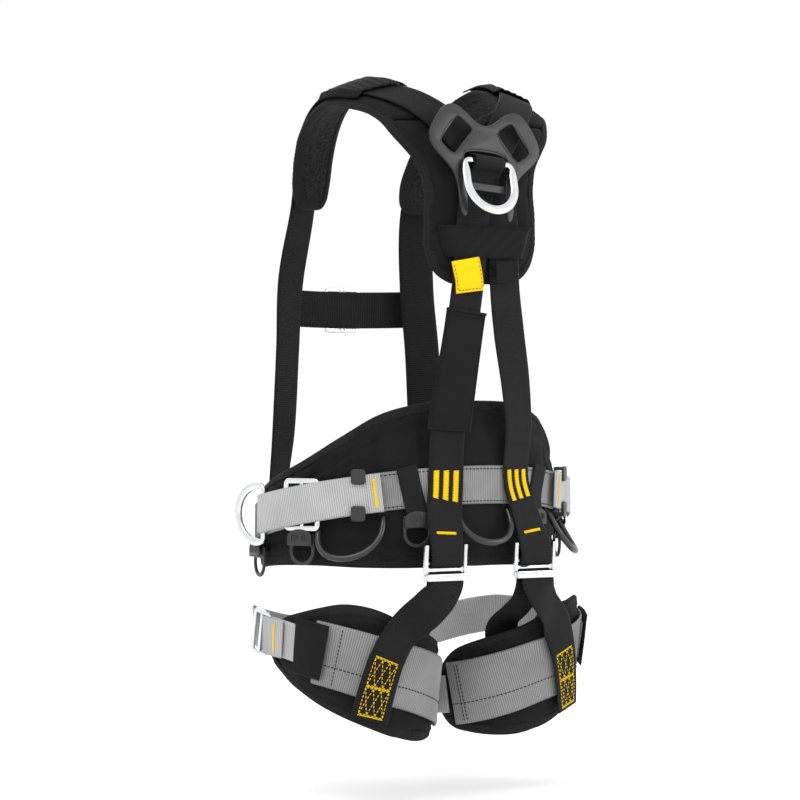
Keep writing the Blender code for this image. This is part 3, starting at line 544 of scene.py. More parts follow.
def threads(name, segments, kind, body, radius):
    """Stitches, each a flattened capsule from one point to another, lying on a surface with this normal."""
    faces = skin(len(THREAD_PROFILE), THREAD_SIDES)
    shapes = []
    for start, end, normal in segments:
        start, end, normal = Vector(start), Vector(end), Vector(normal).normalized()
        run = end - start
        side = run.cross(normal).normalized()
        points = []
        for t, fat in THREAD_PROFILE:
            lift = 0.00015 * sin(pi * t)
            for k in range(THREAD_SIDES):
                a = 2 * pi * k / THREAD_SIDES
                way = side * cos(a) * radius * 1.25 * fat + normal * (sin(a) * radius * fat + lift)
                points.append(start + run * t + way)
        shapes.append((points, faces))
    return join_shapes(name, shapes, kind, body)


def stitch_line(points, normals):
    """Segments of a row of stitches along points."""
    points = np.array([tuple(p) for p in points])
    normals = np.array([tuple(n) for n in normals])
    walked = walked_along(points)
    count = max(int(walked[-1] / (STITCH + STITCH_GAP)), 1)
    step = walked[-1] / count
    share = STITCH / (STITCH + STITCH_GAP)
    made = []
    for k in range(count):
        at = [step * (k + 0.5 - share / 2), step * (k + 0.5 + share / 2)]
        ends = [[np.interp(x, walked, points[:, c]) for c in range(3)] for x in at]
        normal = [np.interp(at[0], walked, normals[:, c]) for c in range(3)]
        made.append((ends[0], ends[1], normal))
    return made


def on_strap(rows, lift=WEB_THICK / 2 + 0.0003):
    """A function of distance along a strap and across it that gives a point on its face, and its normal."""
    centre, side, outward, along = strap_frames(rows)

    def at(distance, across):
        middle, right, normal = (np.array([np.interp(distance, along, x[:, c]) for c in range(3)])
                                 for x in (centre, side, outward))
        return middle + right * across + normal * lift, normal

    at.length = along[-1]
    return at


def satin(at, start, end, half, pitch=0.0009, across=True):
    """A dense bar of thread on a strap, from start to end, each a distance and an offset across."""
    (s0, a0), (s1, a1) = start, end
    length = sqrt((s1 - s0) ** 2 + (a1 - a0) ** 2)
    count = int(length / pitch)
    made = []
    for k in range(count + 1):
        t = k / count
        s, a = s0 + (s1 - s0) * t, a0 + (a1 - a0) * t
        ds, da = (0.0, half) if across else (half, 0.0)
        jog = 0.35 * pitch * (1 if k % 2 else -1)
        first, normal = at(s - ds + jog, a - da)
        last, _ = at(s + ds - jog, a + da)
        made.append((first, last, normal))
    return made


def bar_tack(at, spot, half, width, pitch=0.0009):
    """A bar of thread across a strap."""
    return satin(at, (spot, -half), (spot, half), width, pitch, across=False)


def straight(at, start, end):
    """A row of stitches on a strap between two spots, each a distance and an offset across."""
    found = [at(start[0] + (end[0] - start[0]) * t, start[1] + (end[1] - start[1]) * t)
             for t in np.linspace(0, 1, 9)]
    return stitch_line([p for p, _ in found], [n for _, n in found])


def seams_along(at, low, high, offsets):
    """Rows of stitches along a strap from low to high, at each of these offsets across."""
    return sum((straight(at, (low, across), (high, across)) for across in offsets), [])


def long_seams(at, parts, offsets):
    """Rows of stitches along the whole of a curved strap, in this many straight parts."""
    made = []
    for across in offsets:
        for k in range(parts):
            made += straight(at, (at.length * k / parts, across), (at.length * (k + 1) / parts, across))
    return made


def seams_across(at, spots, half):
    """Rows of stitches across a strap, at each of these distances."""
    return sum((straight(at, (spot, -half), (spot, half)) for spot in spots), [])


def box_of_crosses(at, start, length, half, crosses=3):
    """The stitched box, filled with zigzags, that joins two straps."""
    low, high = start, start + length
    corners = ((low, -half), (high, -half), (high, half), (low, half))
    made = []
    for k in range(4):
        made += straight(at, corners[k], corners[(k + 1) % 4])
    for k in range(crosses):
        left = -half + 2 * half * k / crosses
        right = -half + 2 * half * (k + 1) / crosses
        made += straight(at, (low, left), (high, right))
        made += straight(at, (high, left), (low, right))
    return made


# ---------------------------------------------------------------- pads
def distance_to(outline, points):
    """How far each 2D point is from a closed outline."""
    outline, points = np.array(outline), np.array(points)
    nearest = np.full(len(points), 1e9)
    for k in range(len(outline)):
        a, b = outline[k], outline[(k + 1) % len(outline)]
        run = b - a
        t = np.clip(((points - a) @ run) / max(run @ run, 1e-12), 0, 1)
        nearest = np.minimum(nearest, np.linalg.norm(points - a - t[:, None] * run, axis=1))
    return nearest


def high_face(d):
    return (PAD_THICK + PAD_EDGE) / 2 - 0.0004 + (PAD_MIDDLE - (PAD_THICK + PAD_EDGE) / 2) * ease(d / 0.016)


def low_face(d):
    return (PAD_THICK - PAD_EDGE) / 2 * (1 - ease(d / 0.016)) + 0.0003


def puff(made, pins):
    """Fills a pad with pressure, its seams held, and keeps each point within PUFF_MOST of where it was."""
    before = np.zeros(len(made.data.vertices) * 3, np.float32)
    made.data.vertices.foreach_get("co", before)
    held = made.vertex_groups.new(name="seams")
    held.add([int(k) for k in pins], 1.0, "REPLACE")
    cloth = made.modifiers.new("cloth", "CLOTH")
    settings = cloth.settings
    settings.quality = 4
    settings.mass = 0.2
    settings.tension_stiffness = 12
    settings.compression_stiffness = 12
    settings.bending_stiffness = 0.2
    settings.use_pressure = True
    settings.uniform_pressure_force = 4
    settings.shrink_min = -0.035
    settings.vertex_group_mass = "seams"
    settings.effector_weights.gravity = 0
    cloth.collision_settings.use_collision = False
    cloth.point_cache.frame_end = 20
    scene = bpy.context.scene
    for number in range(1, 21):
        scene.frame_set(number)
    shown = made.evaluated_get(bpy.context.evaluated_depsgraph_get())
    after = np.zeros(len(before), np.float32)
    shown.data.vertices.foreach_get("co", after)
    made.modifiers.remove(cloth)
    scene.frame_set(1)
    moved = (after - before).reshape(-1, 3)
    size = np.linalg.norm(moved, axis=1)
    share = PUFF_MOST * np.tanh(size / PUFF_MOST) / np.maximum(size, 1e-9)
    made.data.vertices.foreach_set("co", (before.reshape(-1, 3) + moved * share[:, None]).ravel())
    made.data.update()


def make_pad(name, cells, to_world, outline, seams, body, node_name):
    """A quilted pad. cells is a grid of 2D points, outline its closed edge, and seams is a function of a 2D
    point and its distance from the edge that gives how deep a sewn channel is there, from 0 to 1."""
    rows, columns = len(cells), len(cells[0])
    flat = np.array(cells).reshape(-1, 2)
    depth = distance_to(outline, flat)
    groove = np.array([seams(x, y, d) for (x, y), d in zip(flat, depth, strict=True)])
    high = high_face(depth) - 0.0036 * groove
    low = low_face(depth) + 0.0010 * groove
    front = [to_world(x, y, h) for (x, y), h in zip(flat, high, strict=True)]
    back = [to_world(x, y, h) for (x, y), h in zip(flat, low, strict=True)]
    faces, lining = shell_faces(rows, columns)
    middle = len(flat) // 2
    way = (front[middle + 1] - front[middle]).cross(front[middle + columns] - front[middle])
    if way.dot(front[middle] - back[middle]) < 0:
        faces = [face[::-1] for face in faces]
    made = add_piece(name, front + back, faces, "pad", body, [*flat, *flat], [node_name], lining)
    still = np.concatenate([(groove > 0.55) | (depth < 0.006), np.ones(len(flat), bool)])
    puff(made, np.nonzero(still)[0])
    finer = made.modifiers.new("finer", "SUBSURF")
    finer.levels = 1
    finer.render_levels = 1


def inward_of(outline):
    """The inward direction at each point of a closed 2D outline."""
    outline = np.array(outline)
    run = np.roll(outline, -1, axis=0) - np.roll(outline, 1, axis=0)
    run /= np.linalg.norm(run, axis=1)[:, None]
    way = np.stack([-run[:, 1], run[:, 0]], axis=1)
    area = (outline[:, 0] * np.roll(outline[:, 1], -1) - np.roll(outline[:, 0], -1) * outline[:, 1]).sum()
    return way if area > 0 else -way


def resample(outline, step):
    """A closed outline with a point every step, softly rounded."""
    outline = np.array([*outline, outline[0]])
    walked = walked_along(outline)
    count = int(walked[-1] / step)
    at = np.linspace(0, walked[-1], count, endpoint=False)
    even = np.stack([np.interp(at, walked, outline[:, c]) for c in range(2)], axis=1)
    for _ in range(6):
        even = (np.roll(even, 1, axis=0) + 2 * even + np.roll(even, -1, axis=0)) / 4
    return even


def make_binding(name, outline, to_world, body):
    """The tape folded over a pad's edge, and the stitches that hold it."""
    step, lift, width = 0.0022, 0.0009, BINDING
    outline = resample(outline, step)
    inward = inward_of(outline)
    cross = [(width, high_face(width) + lift * 0.2)]
    cross += [(d, high_face(d) + lift) for d in (width - 0.0006, width * 0.66, width * 0.33, 0.0010)]
    cross += [(-0.0008, high_face(0.0) - 0.0010), (-0.0013, PAD_THICK / 2), (-0.0008, low_face(0.0) + 0.0010)]
    cross += [(d, low_face(d) - lift) for d in (0.0010, width * 0.5, width - 0.0006)]
    cross += [(width, low_face(width) + 0.0004), (width * 0.6, PAD_THICK / 2)]
    points, uvs = [], []
    for k, (spot, way) in enumerate(zip(outline, inward, strict=True)):
        pucker = 0.00030 * sin(k * 1.9) + 0.00025 * sin(k * 0.37)
        for n, (d, h) in enumerate(cross):
            x, y = spot + way * d
            points.append(to_world(x, y, h + (pucker if n < 5 else 0.0)))
            uvs.append((d + n * 0.001, k * step))
    add_piece(name, points, skin(len(outline), len(cross), closed=True), "tape", body, uvs)
    inset = width - 0.0018
    height = high_face(inset) + lift + 0.0003
    seam = seam_on(outline + inward * inset, to_world, height)
    threads(f"{name}_seam", seam, "black_thread", body, SEAM_THREAD)


def seam_on(spots, to_world, height):
    """A row of stitches over 2D spots of a pad, at this height."""
    points = [to_world(x, y, height) for x, y in spots]
    normals = [to_world(x, y, height + 0.002) - p for (x, y), p in zip(spots, points, strict=True)]
    return stitch_line(points, normals)


def rounded_end(low, high, into):
    if into <= 0:
        return low, high
    share = 0.25 + 0.75 * sqrt(max(1 - into * into, 0.0))
    middle = (low + high) / 2
    return middle + (low - middle) * share, middle + (high - middle) * share


def arc_table(place, low, high):
    """Distances along a curve against the angle that draws it."""
    angles = np.linspace(low, high, 241)
    walked = walked_along(np.array([tuple(place(a))[:2] for a in angles]))
    return angles, walked - np.interp(0, angles, walked)


def strip_pad(name, place, edges, low, high, seams, body, node_name):
    """A pad that is a strip along an angle, with its binding; place takes an angle, a height and a
    stand-off. Gives the pad's to_world and the distance along it for an angle."""
    angles, distances = arc_table(lambda a: place(a, 0.0, PAD_THICK / 2), low, high)

    def to_world(x, y, h):
        return place(float(np.interp(x, distances, angles)), y, h)

    count = int((distances[-1] - distances[0]) / CELL)
    across = int(max(edges(a)[1] - edges(a)[0] for a in np.linspace(low, high, 30)) / CELL)
    cells, bottom, top = [], [], []
    for x in np.linspace(distances[0], distances[-1], count + 1):
        lower, upper = edges(float(np.interp(x, distances, angles)))
        bottom.append((x, lower))
        top.append((x, upper))
        cells.append([(x, lower + (upper - lower) * j / across) for j in range(across + 1)])
    outline = bottom + top[::-1]

    def channels(x, y, d):
        return seams(float(np.interp(x, distances, angles)), x, y, d)

    make_pad(name, cells, to_world, outline, channels, body, node_name)
    make_binding(f"{name}_binding", outline, to_world, body)
    return to_world, lambda a: float(np.interp(a, angles, distances))


def near(value, target, width):
    return max(0.0, 1 - abs(value - target) / width)


# ---------------------------------------------------------------- hardware
def sweep(path, half_wide, half_thick, place, closed=True, fullness=2.6):
    """The points and faces of a bar of rounded section along a flat path in place's XY plane; half_wide may
    be a function of the point."""
    around = 20
    points = []
    path = np.array(path)
    run = np.roll(path, -1, axis=0) - np.roll(path, 1, axis=0) if closed else np.gradient(path, axis=0)
    run /= np.linalg.norm(run, axis=1)[:, None]
    for (x, y), (rx, ry) in zip(path, run, strict=True):
        wide = half_wide(x, y) if callable(half_wide) else half_wide
        for k in range(around):
            a = 2 * pi * k / around
            across = wide * power(cos(a), 2 / fullness)
            deep = half_thick * power(sin(a), 2 / fullness)
            points.append(place @ Vector((x + ry * across, y - rx * across, deep)))
    return points, skin(len(path), around, closed)


def arc(centre_x, centre_y, radius_x, radius_y, start, end, steps):
    angles = [radians(start + (end - start) * k / steps) for k in range(steps + 1)]
    return [(centre_x + radius_x * cos(a), centre_y + radius_y * sin(a)) for a in angles]


def line(start, end, steps):
    return [(start[0] + (end[0] - start[0]) * k / steps, start[1] + (end[1] - start[1]) * k / steps)
            for k in range(1, steps)]


def join_shapes(name, shapes, kind, body, replaces=()):
    """One piece of several closed shapes, each points and faces."""
    points, faces = [], []
    for shape_points, shape_faces in shapes:
        base = len(points)
        points += shape_points
        faces += [tuple(base + k for k in face) for face in shape_faces]
    uvs = [(p[0], p[2]) for p in points]
    return add_piece(name, points, faces, kind, body, uvs, replaces)


def d_ring(name, half, depth, limb, body, place, node_name):
    """A forged D: a straight bar along the top, and a limb that swells towards the bottom of the bow."""
    bar = 0.0033
    outside, low = half - limb / 2, limb / 2 - depth
    belly = min(outside, -low)
    corner = 0.0065
    path = arc(outside - corner, -corner, corner, corner, 0, 90, 6)
    path += line((outside - corner, 0.0), (corner - outside, 0.0), 12)
    path += arc(corner - outside, -corner, corner, corner, 90, 180, 6)
    path += line((-outside, -corner), (-outside, low + belly), 6)
    path += arc(0.0, low + belly, outside, belly, 180, 360, 40)
    path += line((outside, low + belly), (outside, -corner), 6)

    def wide(x, y):
        return bar + (limb / 2 - bar) * float(ease((-y - 0.001) / 0.014))

    join_shapes(name, [sweep(path, wide, RING_THICK / 2, place)], "alloy", body, [node_name])


def rectangle_path(half_x, low, high, corner):
    """A rounded rectangle, with points along its sides too."""
    x, top, bottom = half_x - corner, high - corner, low + corner
    sides = (
        (x, top, (x, high), (-x, high)), (-x, top, (-half_x, top), (-half_x, bottom)),
        (-x, bottom, (-x, low), (x, low)), (x, bottom, (half_x, bottom), (half_x, top)),
    )
    path = []
    for k, (middle_x, middle_y, start, end) in enumerate(sides):
        path += arc(middle_x, middle_y, corner, corner, 90 * k, 90 * k + 90, 5) + line(start, end, 8)
    return path


def buckle(name, half_x, half_y, rail, thick, bars, body, place, node_name):
    """A slide buckle: a rounded frame with bars across it, at these distances from its middle."""
    inner = rectangle_path(half_x - rail, rail - half_y, half_y - rail, 0.004)
    shapes = [sweep(inner, rail, thick / 2, place, fullness=4)]
    for x in bars:
        path = [(x, y) for y in np.linspace(rail - half_y, half_y - rail, 14)]
        shapes.append(sweep(path, 0.0024, thick / 2 + 0.0004, place, closed=False))
    join_shapes(name, shapes, "alloy", body, [node_name])


def smooth_outline(points):
    """A closed outline rounded between its points."""
    points = np.array(points)
    count = len(points)
    made = []
    for k in range(count):
        p0, p1, p2, p3 = (points[(k + n) % count] for n in (-1, 0, 1, 2))
        for step in range(6):
            t = step / 6
            made.append(tuple(0.5 * (
                2 * p1 + (p2 - p0) * t + (2 * p0 - 5 * p1 + 4 * p2 - p3) * t * t
                + (3 * p1 - p0 - 3 * p2 + p3) * t**3
            )))
    return made


def cut_plate(name, outlines, thick, edge, kind, body, place, replaces=()):
    """A flat moulding with rounded edges: the first outline is its edge and the others are holes."""
    flat = bpy.data.curves.new(name, "CURVE")
    flat.dimensions = "2D"
    flat.fill_mode = "BOTH"
    flat.extrude = thick / 2 - edge
    flat.bevel_depth = edge
    flat.bevel_resolution = 3
    flat.offset = -edge
    for outline in outlines:
        spline = flat.splines.new("POLY")
        spline.points.add(len(outline) - 1)
        for point, (x, y) in zip(spline.points, outline, strict=True):
            point.co = (x, y, 0.0, 1.0)
        spline.use_cyclic_u = True
    guide = put(name + "_guide", flat)
    bpy.context.view_layer.update()
    mesh = bpy.data.meshes.new_from_object(guide.evaluated_get(bpy.context.evaluated_depsgraph_get()))
    bpy.data.objects.remove(guide)
    cleaned = bmesh.new()
    cleaned.from_mesh(mesh)
    bmesh.ops.remove_doubles(cleaned, verts=cleaned.verts, dist=1e-5)
    bmesh.ops.recalc_face_normals(cleaned, faces=cleaned.faces)
    cleaned.to_mesh(mesh)
    cleaned.free()
    settle_moulding(name, mesh, place, 40, kind, body, replaces)


def rounded_block(name, size, edge, kind, body, place, replaces=(), bend=None):
    """A block with well rounded edges; bend moves each of its points."""
    mesh = bpy.data.meshes.new(name)
    block = bmesh.new()
    bmesh.ops.create_cube(block, size=1.0)
    bmesh.ops.scale(block, vec=size, verts=block.verts)
    bmesh.ops.bevel(block, geom=block.edges[:], offset=edge, segments=4, profile=0.6, affect="EDGES")
    if bend is not None:
        bmesh.ops.subdivide_edges(block, edges=block.edges[:], cuts=2)
        for vertex in block.verts:
            vertex.co = bend(vertex.co)
    block.to_mesh(mesh)
    block.free()
    settle_moulding(name, mesh, place, 45, kind, body, replaces)


def hose(name, points, radius, kind, body, replaces=(), swell=None, around=16):
    """A round tube through points; swell gives its radius along, from 0 to 1."""
    rows = smooth([[*p, 0, 0, 1] for p in points], 90)[:, :3]
    run = np.gradient(rows, axis=0)
    run /= np.linalg.norm(run, axis=1)[:, None]
    side = np.cross(run[0], (0.3, 0.2, 1.0))
    made = []
    for k, (spot, way) in enumerate(zip(rows, run, strict=True)):
        side = side - way * (side @ way)
        side /= np.linalg.norm(side)
        other = np.cross(way, side)
        size = radius * (swell(k / 90) if swell else 1.0)
        made += [spot + size * (cos(2 * pi * n / around) * side + sin(2 * pi * n / around) * other)
                 for n in range(around)]
    add_piece(name, made, skin(len(rows), around), kind, body, [(0.0, 0.0)] * len(made), replaces)


# ---------------------------------------------------------------- shoulder yoke and back
def make_yoke():
    stations = np.arange(0.0, YOKE_OUTLINE[-1][0] + 1e-9, CELL)
    cells = []

    def to_world(x, y, h):
        return yoke_point(x, y, h - PAD_THICK / 2)

    edges = [between(YOKE_OUTLINE, y) for y in stations]
    back = [k for k, y in enumerate(stations) if y < NECK_START]
    arms = [k for k, y in enumerate(stations) if y >= NECK_START]
    outer = [(edge[1], y) for edge, y in zip(edges, stations, strict=True)]
    inner = [(edges[k][0], stations[k]) for k in arms]
    neck = [(0.0, NECK_START), (0.014, NECK_START + 0.001)]
    half = outer + inner[::-1] + neck[::-1]
    outline = half + [(-x, y) for x, y in half[::-1] if x > 0]

    def seams(x, y, d):
        return 0.55 * near(d, BINDING + 0.0012, 0.0035)

    across = 48
    for k in back:
        reach = edges[k][1]
        cells.append([(reach * (2 * j / across - 1), stations[k]) for j in range(across + 1)])
    make_pad("yoke_back", cells, to_world, outline, seams, "harness", "yoke_pad")
    for word, side in SIDES:
        start = np.linspace(0.002, edges[arms[0]][1] - 0.001, 21)
        grid = [[(side * x, NECK_START - 0.0008) for x in start]]
        for k in arms:
            low, high = edges[k]
            grid.append([(side * x, stations[k]) for x in np.linspace(max(low, 0.004), high, 21)])
        make_pad(f"yoke_shoulder_{word}", grid, to_world, outline, seams, "harness", "yoke_pad")
    make_binding("yoke_binding", outline, to_world, "harness")


def main_strap_rows(side):
    over = CROSSING if side < 0 else 0.0
    front = 142
    rows = [
        facing(waist_point(front, -0.030, 0.0105), waist_normal(front)),
        facing(waist_point(front, 0.022, 0.0105), waist_normal(front)),
        [0.106, -0.112, 0.060, 0.35, -0.93, 0.0],
        [0.100, -0.112, 0.160, 0.30, -0.95, 0.0],
        [0.094, -0.115, 0.240, 0.25, -0.97, 0.0],
    ]
    for length, u in STRAP_ON_SHOULDER:
        lift = over if length < 0.217 else 0.0
        rows.append(facing(yoke_point(u, length, STRAP_ON_YOKE + lift), yoke_normal(u, length)))
    rows += [
        [-0.034, 0.1570, 0.180, -0.02, 1.0, 0.0],
        [-0.045, 0.1560, 0.115, -0.10, 1.0, 0.0],
        [-0.051, 0.1535, 0.070, -0.16, 0.98, 0.0],
        facing(waist_point(-15.5, 0.0, SIDE_STRAP), waist_normal(-15.5)),
        [-0.0590, 0.1575, -0.035, -0.18, 0.98, 0.06],
        [-0.0625, 0.1655, -0.060, -0.08, 0.99, 0.06],
    ]
    joint = Vector((-ADJUSTER.x, ADJUSTER.y, ADJUSTER.z))
    outward = Vector((0, 1, 0))
    rows.append(facing(joint + outward * ADJUSTER_FOLD + UP * 0.010, outward))
    rows += fold(joint, UP.cross(outward), outward, ADJUSTER_FOLD, 180)
    inner = joint - outward * ADJUSTER_FOLD
    rows.append(facing(inner + UP * 0.010, -outward))
    rows.append(facing(inner + Vector((0.001, -0.0018, 0.022)), Vector((0.05, -1, 0))))
    rows = np.array(rows)
    rows[:, (0, 3)] *= side
    return rows


def distance_at(rows, height):
    """How far along a strap it first comes down to this height behind the wearer."""
    centre, _, _, along = strap_frames(rows)
    found = [k for k in range(len(centre))
             if centre[k][2] < height and centre[k][1] > 0.05 and along[k] > along[-1] * 0.4]
    return along[found[0]]


def make_main_straps():
    for word, side in SIDES:
        rows = main_strap_rows(side)
        webbing(f"main_strap_{word}_web", rows, "black", "harness", replaces=[f"main_strap_{word}"])
        at = on_strap(rows)
        top = distance_at(rows, 0.017)
        tacks = []
        for across in (-0.0125, 0.0, 0.0125):
            tacks += satin(at, (top, across), (top + 0.034, across), 0.0037)
        low = distance_at(rows, -0.054)
        tacks += satin(at, (low, -0.0125), (low + 0.001, 0.0125), 0.0016, across=False)
        threads(f"main_strap_{word}_tacks", tacks, "yellow_thread", "harness", TACK_THREAD)
        edge = seams_along(at, top - 0.004, top + 0.040, (-0.0195, 0.0195))
        threads(f"main_strap_{word}_stitches", edge, "black_thread", "harness", SEAM_THREAD)


def sheet_over(name, lengths, half_of, middle, top, shoulder, replaces):
    """Cloth sewn to the yoke at both sides and arched over the straps under it."""
    low, high = lengths
    columns, rows = 44, 36
    edge = PAD_THICK / 2 + 0.0010
    thick, hem = 0.0012, 0.004
    points, uvs = [], []
    for layer in (thick / 2, -thick / 2):
        for j in range(rows + 1):
            length = low + (high - low) * j / rows
            half = half_of(j / rows)
            for i in range(columns + 1):
                off = half * (2 * i / columns - 1)
                t = float(ease((half - abs(off)) / shoulder))
                wave = 0.0005 * sin(i * 0.9 + j * 0.35) * t
                border = 0.0006 * (1 if min(j, rows - j) * (high - low) / rows < hem else 0)
                stand = edge + (top - edge) * t + wave + border + layer
                points.append(yoke_point(middle(length) + off, length, stand))
                uvs.append((off, length))
    width = columns + 1
    count = width * (rows + 1)
    made = add_piece(name, points, shell_faces(rows + 1, width)[0], "cover", "harness", uvs, replaces)
    seams = [[j * width + i for j in range(rows + 1)] for i in (1, columns - 1)]
    seams += [[j * width + i for i in range(width)] for j in (2, rows - 2)]
    lines = []
    for chosen in seams:
        normals = [points[k] - points[count + k] for k in chosen]
        spots = [points[k] + n.normalized() * 0.0003 for k, n in zip(chosen, normals, strict=True)]
        lines += stitch_line(spots, normals)
    threads(f"{name}_stitches", lines, "black_thread", "harness", SEAM_THREAD)
    grid = np.array([tuple(p) for p in points[:count]]).reshape(rows + 1, width, 3)


def make_band_and_sleeves():
    top = STRAP_ON_YOKE + CROSSING + 0.0030
    sheet_over("retaining_band_cloth", (0.031, 0.067), lambda t: 0.056 + 0.012 * t, lambda length: 0.0, top,
               0.014, ["retaining_band"])
    route = sorted(STRAP_ON_SHOULDER)
    for word, side in SIDES:
        sheet_over(f"shoulder_sleeve_{word}_cloth", (0.252, 0.334), lambda t: 0.0315,
                   lambda length, side=side: side * between(route, length)[0], STRAP_ON_YOKE + 0.0042, 0.009,
                   [f"shoulder_sleeve_{word}"])


def plate_place():
    outward = yoke_normal(PLATE_SHIFT, PLATE_LENGTH)
    place = outward_frame(yoke_point(PLATE_SHIFT, PLATE_LENGTH, PLATE_STAND_OFF), outward)
    return place @ Matrix.Rotation(radians(PLATE_TURN), 4, "Z")


def make_dorsal_plate():
    half = [
        (0.000, 0.045), (0.012, 0.048), (0.024, 0.057), (0.038, 0.065), (0.050, 0.065), (0.062, 0.056),
        (0.073, 0.040), (0.078, 0.028), (0.076, 0.016), (0.067, 0.005), (0.057, -0.004), (0.048, -0.013),
        (0.0425, -0.023), (0.0395, -0.036), (0.0378, -0.054), (0.035, -0.064), (0.031, -0.067),
        (0.0285, -0.063), (0.0276, -0.052), (0.0272, -0.036), (0.0282, -0.022), (0.0305, -0.010),
        (0.0320, 0.001), (0.029, 0.008), (0.018, 0.0115), (0.000, 0.0125),
    ]
    outline = half + [(-x, y) for x, y in reversed(half[1:-1])]
    slot = [(0.0170, 0.0385), (0.0385, 0.0530), (0.0640, 0.0190), (0.0450, 0.0050)]
    place = plate_place()
    slots = []
    for side in (1, -1):
        corners = [Vector((side * x, y, 0)) for x, y in slot]
        soft = []
        for k in range(4):
            before, here, after = corners[k - 1], corners[k], corners[(k + 1) % 4]
            a = here + (before - here).normalized() * 0.0022
            b = here + (after - here).normalized() * 0.0022
            soft += [(a.x, a.y), ((a.x + b.x + 2 * here.x) / 4, (a.y + b.y + 2 * here.y) / 4), (b.x, b.y)]
        slots.append(soft)
    cut_plate("dorsal_plate_moulding", [smooth_outline(outline), *slots], 0.0036, 0.0011, "plate", "harness",
              place, ["dorsal_plate"])
    for k, soft in enumerate(slots):
        ring = [place @ Vector((x, y, 0.0016)) for x, y in soft]
        hose(f"plate_slot_rim_{k}", ring + ring[:2], 0.0008, "plate", "harness", around=8)
    arch = half[-5:]
    arch = [(-x, y) for x, y in arch] + arch[::-1][1:]
    hose("plate_arch_rib", [place @ Vector((x, y + 0.0030, 0.0017)) for x, y in arch], 0.0010, "plate",
         "harness", around=8)
    bar_place = place @ Matrix.Translation((0.0, -0.030, 0.0006))
    rounded_block("keeper_bar", (0.052, 0.009, 0.0030), 0.0011, "plate", "harness", bar_place,
                  ["strap_keeper_bar"], bend=lambda p: p + Vector((0, 0, 0.5 * p.x * p.x)))


def make_dorsal_ring():
    place = plate_place() @ Matrix.Translation((0.0, -0.0005, RING_LIFT))
    place = place @ Matrix.Rotation(radians(RING_TILT), 4, "X")
    d_ring("dorsal_ring_forged", 0.0385, 0.065, 0.011, "dorsal_ring", place, "dorsal_d_ring")
    plate = plate_place()
    outward = plate.col[2].to_3d()
    route = (
        (0.034, -0.0040), (0.019, -0.0040), (0.0126, -0.0036), (0.0086, -0.0008), (0.0068, 0.0046),
        (0.0046, 0.0092), (-0.0005, 0.0118), (-0.0052, 0.0094), (-0.0078, 0.0048), (-0.0096, -0.0002),
        (-0.0136, -0.0034), (-0.036, -0.0036),
    )
    rows = [facing(plate @ Vector((0.0, y, z)), outward) for y, z in route]
    webbing("ring_strap_web", rows, "black", "harness", width=0.043, replaces=["ring_strap"], rib=0.0001)


def make_back_labels():
    tag = [
        facing(Vector((0.036, 0.1666, 0.2620)), Vector((0, 1, 0))),
        facing(Vector((0.034, 0.1680, 0.250)), Vector((0, 1, 0))),
        facing(Vector((0.032, 0.1685, 0.240)), Vector((0, 1, 0.1))),
        facing(Vector((0.030, 0.1672, 0.224)), Vector((0, 1, 0.1))),
    ]
    webbing("indicator_tag_cloth", tag, "tag", "harness", width=0.040, thick=0.0011,
            replaces=["indicator_tag"], rib=0.0)
    at = on_strap(tag, 0.0009)
    end = at.length
    seam = seams_across(at, (end - 0.003,), 0.017) + seams_along(at, 0.004, end - 0.003, (-0.0175, 0.0175))
    threads("indicator_tag_stitches", seam, "black_thread", "harness", 0.0003)
    small = [facing(Vector((-0.022, y, z)), Vector((0, 1, 0)))
             for y, z in ((0.1690, 0.260), (0.1702, 0.248), (0.1700, 0.236))]
    webbing("maker_tag_cloth", small, "cover", "harness", width=0.032, thick=0.0010, replaces=["maker_tag"],
            rib=0.0)
    centre, _, outward, _ = strap_frames(main_strap_rows(-1))
    chosen = [k for k in range(len(centre)) if centre[k][1] > 0.1 and 0.062 <= centre[k][2] <= 0.203]
    sleeve = [facing(centre[k] + outward[k] * LAYER, outward[k]) for k in chosen[::6]]
    webbing("label_sleeve_cloth", sleeve, "cover", "harness", width=0.056, thick=0.0024,
            replaces=["label_sleeve"], rib=0.0, cup=0.0006)
    at = on_strap(sleeve, 0.0018)
    end = at.length
    seam = seams_along(at, 0.003, end - 0.003, (-0.0255, 0.0255))
    seam += seams_across(at, (0.0035, 0.0075, end - 0.0035), 0.0255)
    threads("label_sleeve_stitches", seam, "black_thread", "harness", SEAM_THREAD)
    roll = [at(0.0012, a)[0] for a in np.linspace(-0.027, 0.027, 7)]
    hose("label_sleeve_hem", roll, 0.0017, "cover", "harness", around=10)


# ---------------------------------------------------------------- waist belt
def belt_edges(angle):
    reach = abs(angle)
    low, high = between(BELT_BOTTOM, reach)[0], between(BELT_TOP, reach)[0]
    return rounded_end(low, high, (reach - (BELT_END - BELT_ROUND)) / BELT_ROUND)


def belt_place(angle, height, stand_off):
    return waist_point(angle, height, stand_off - BELT_LEAN * max(height - 0.026, 0.0))


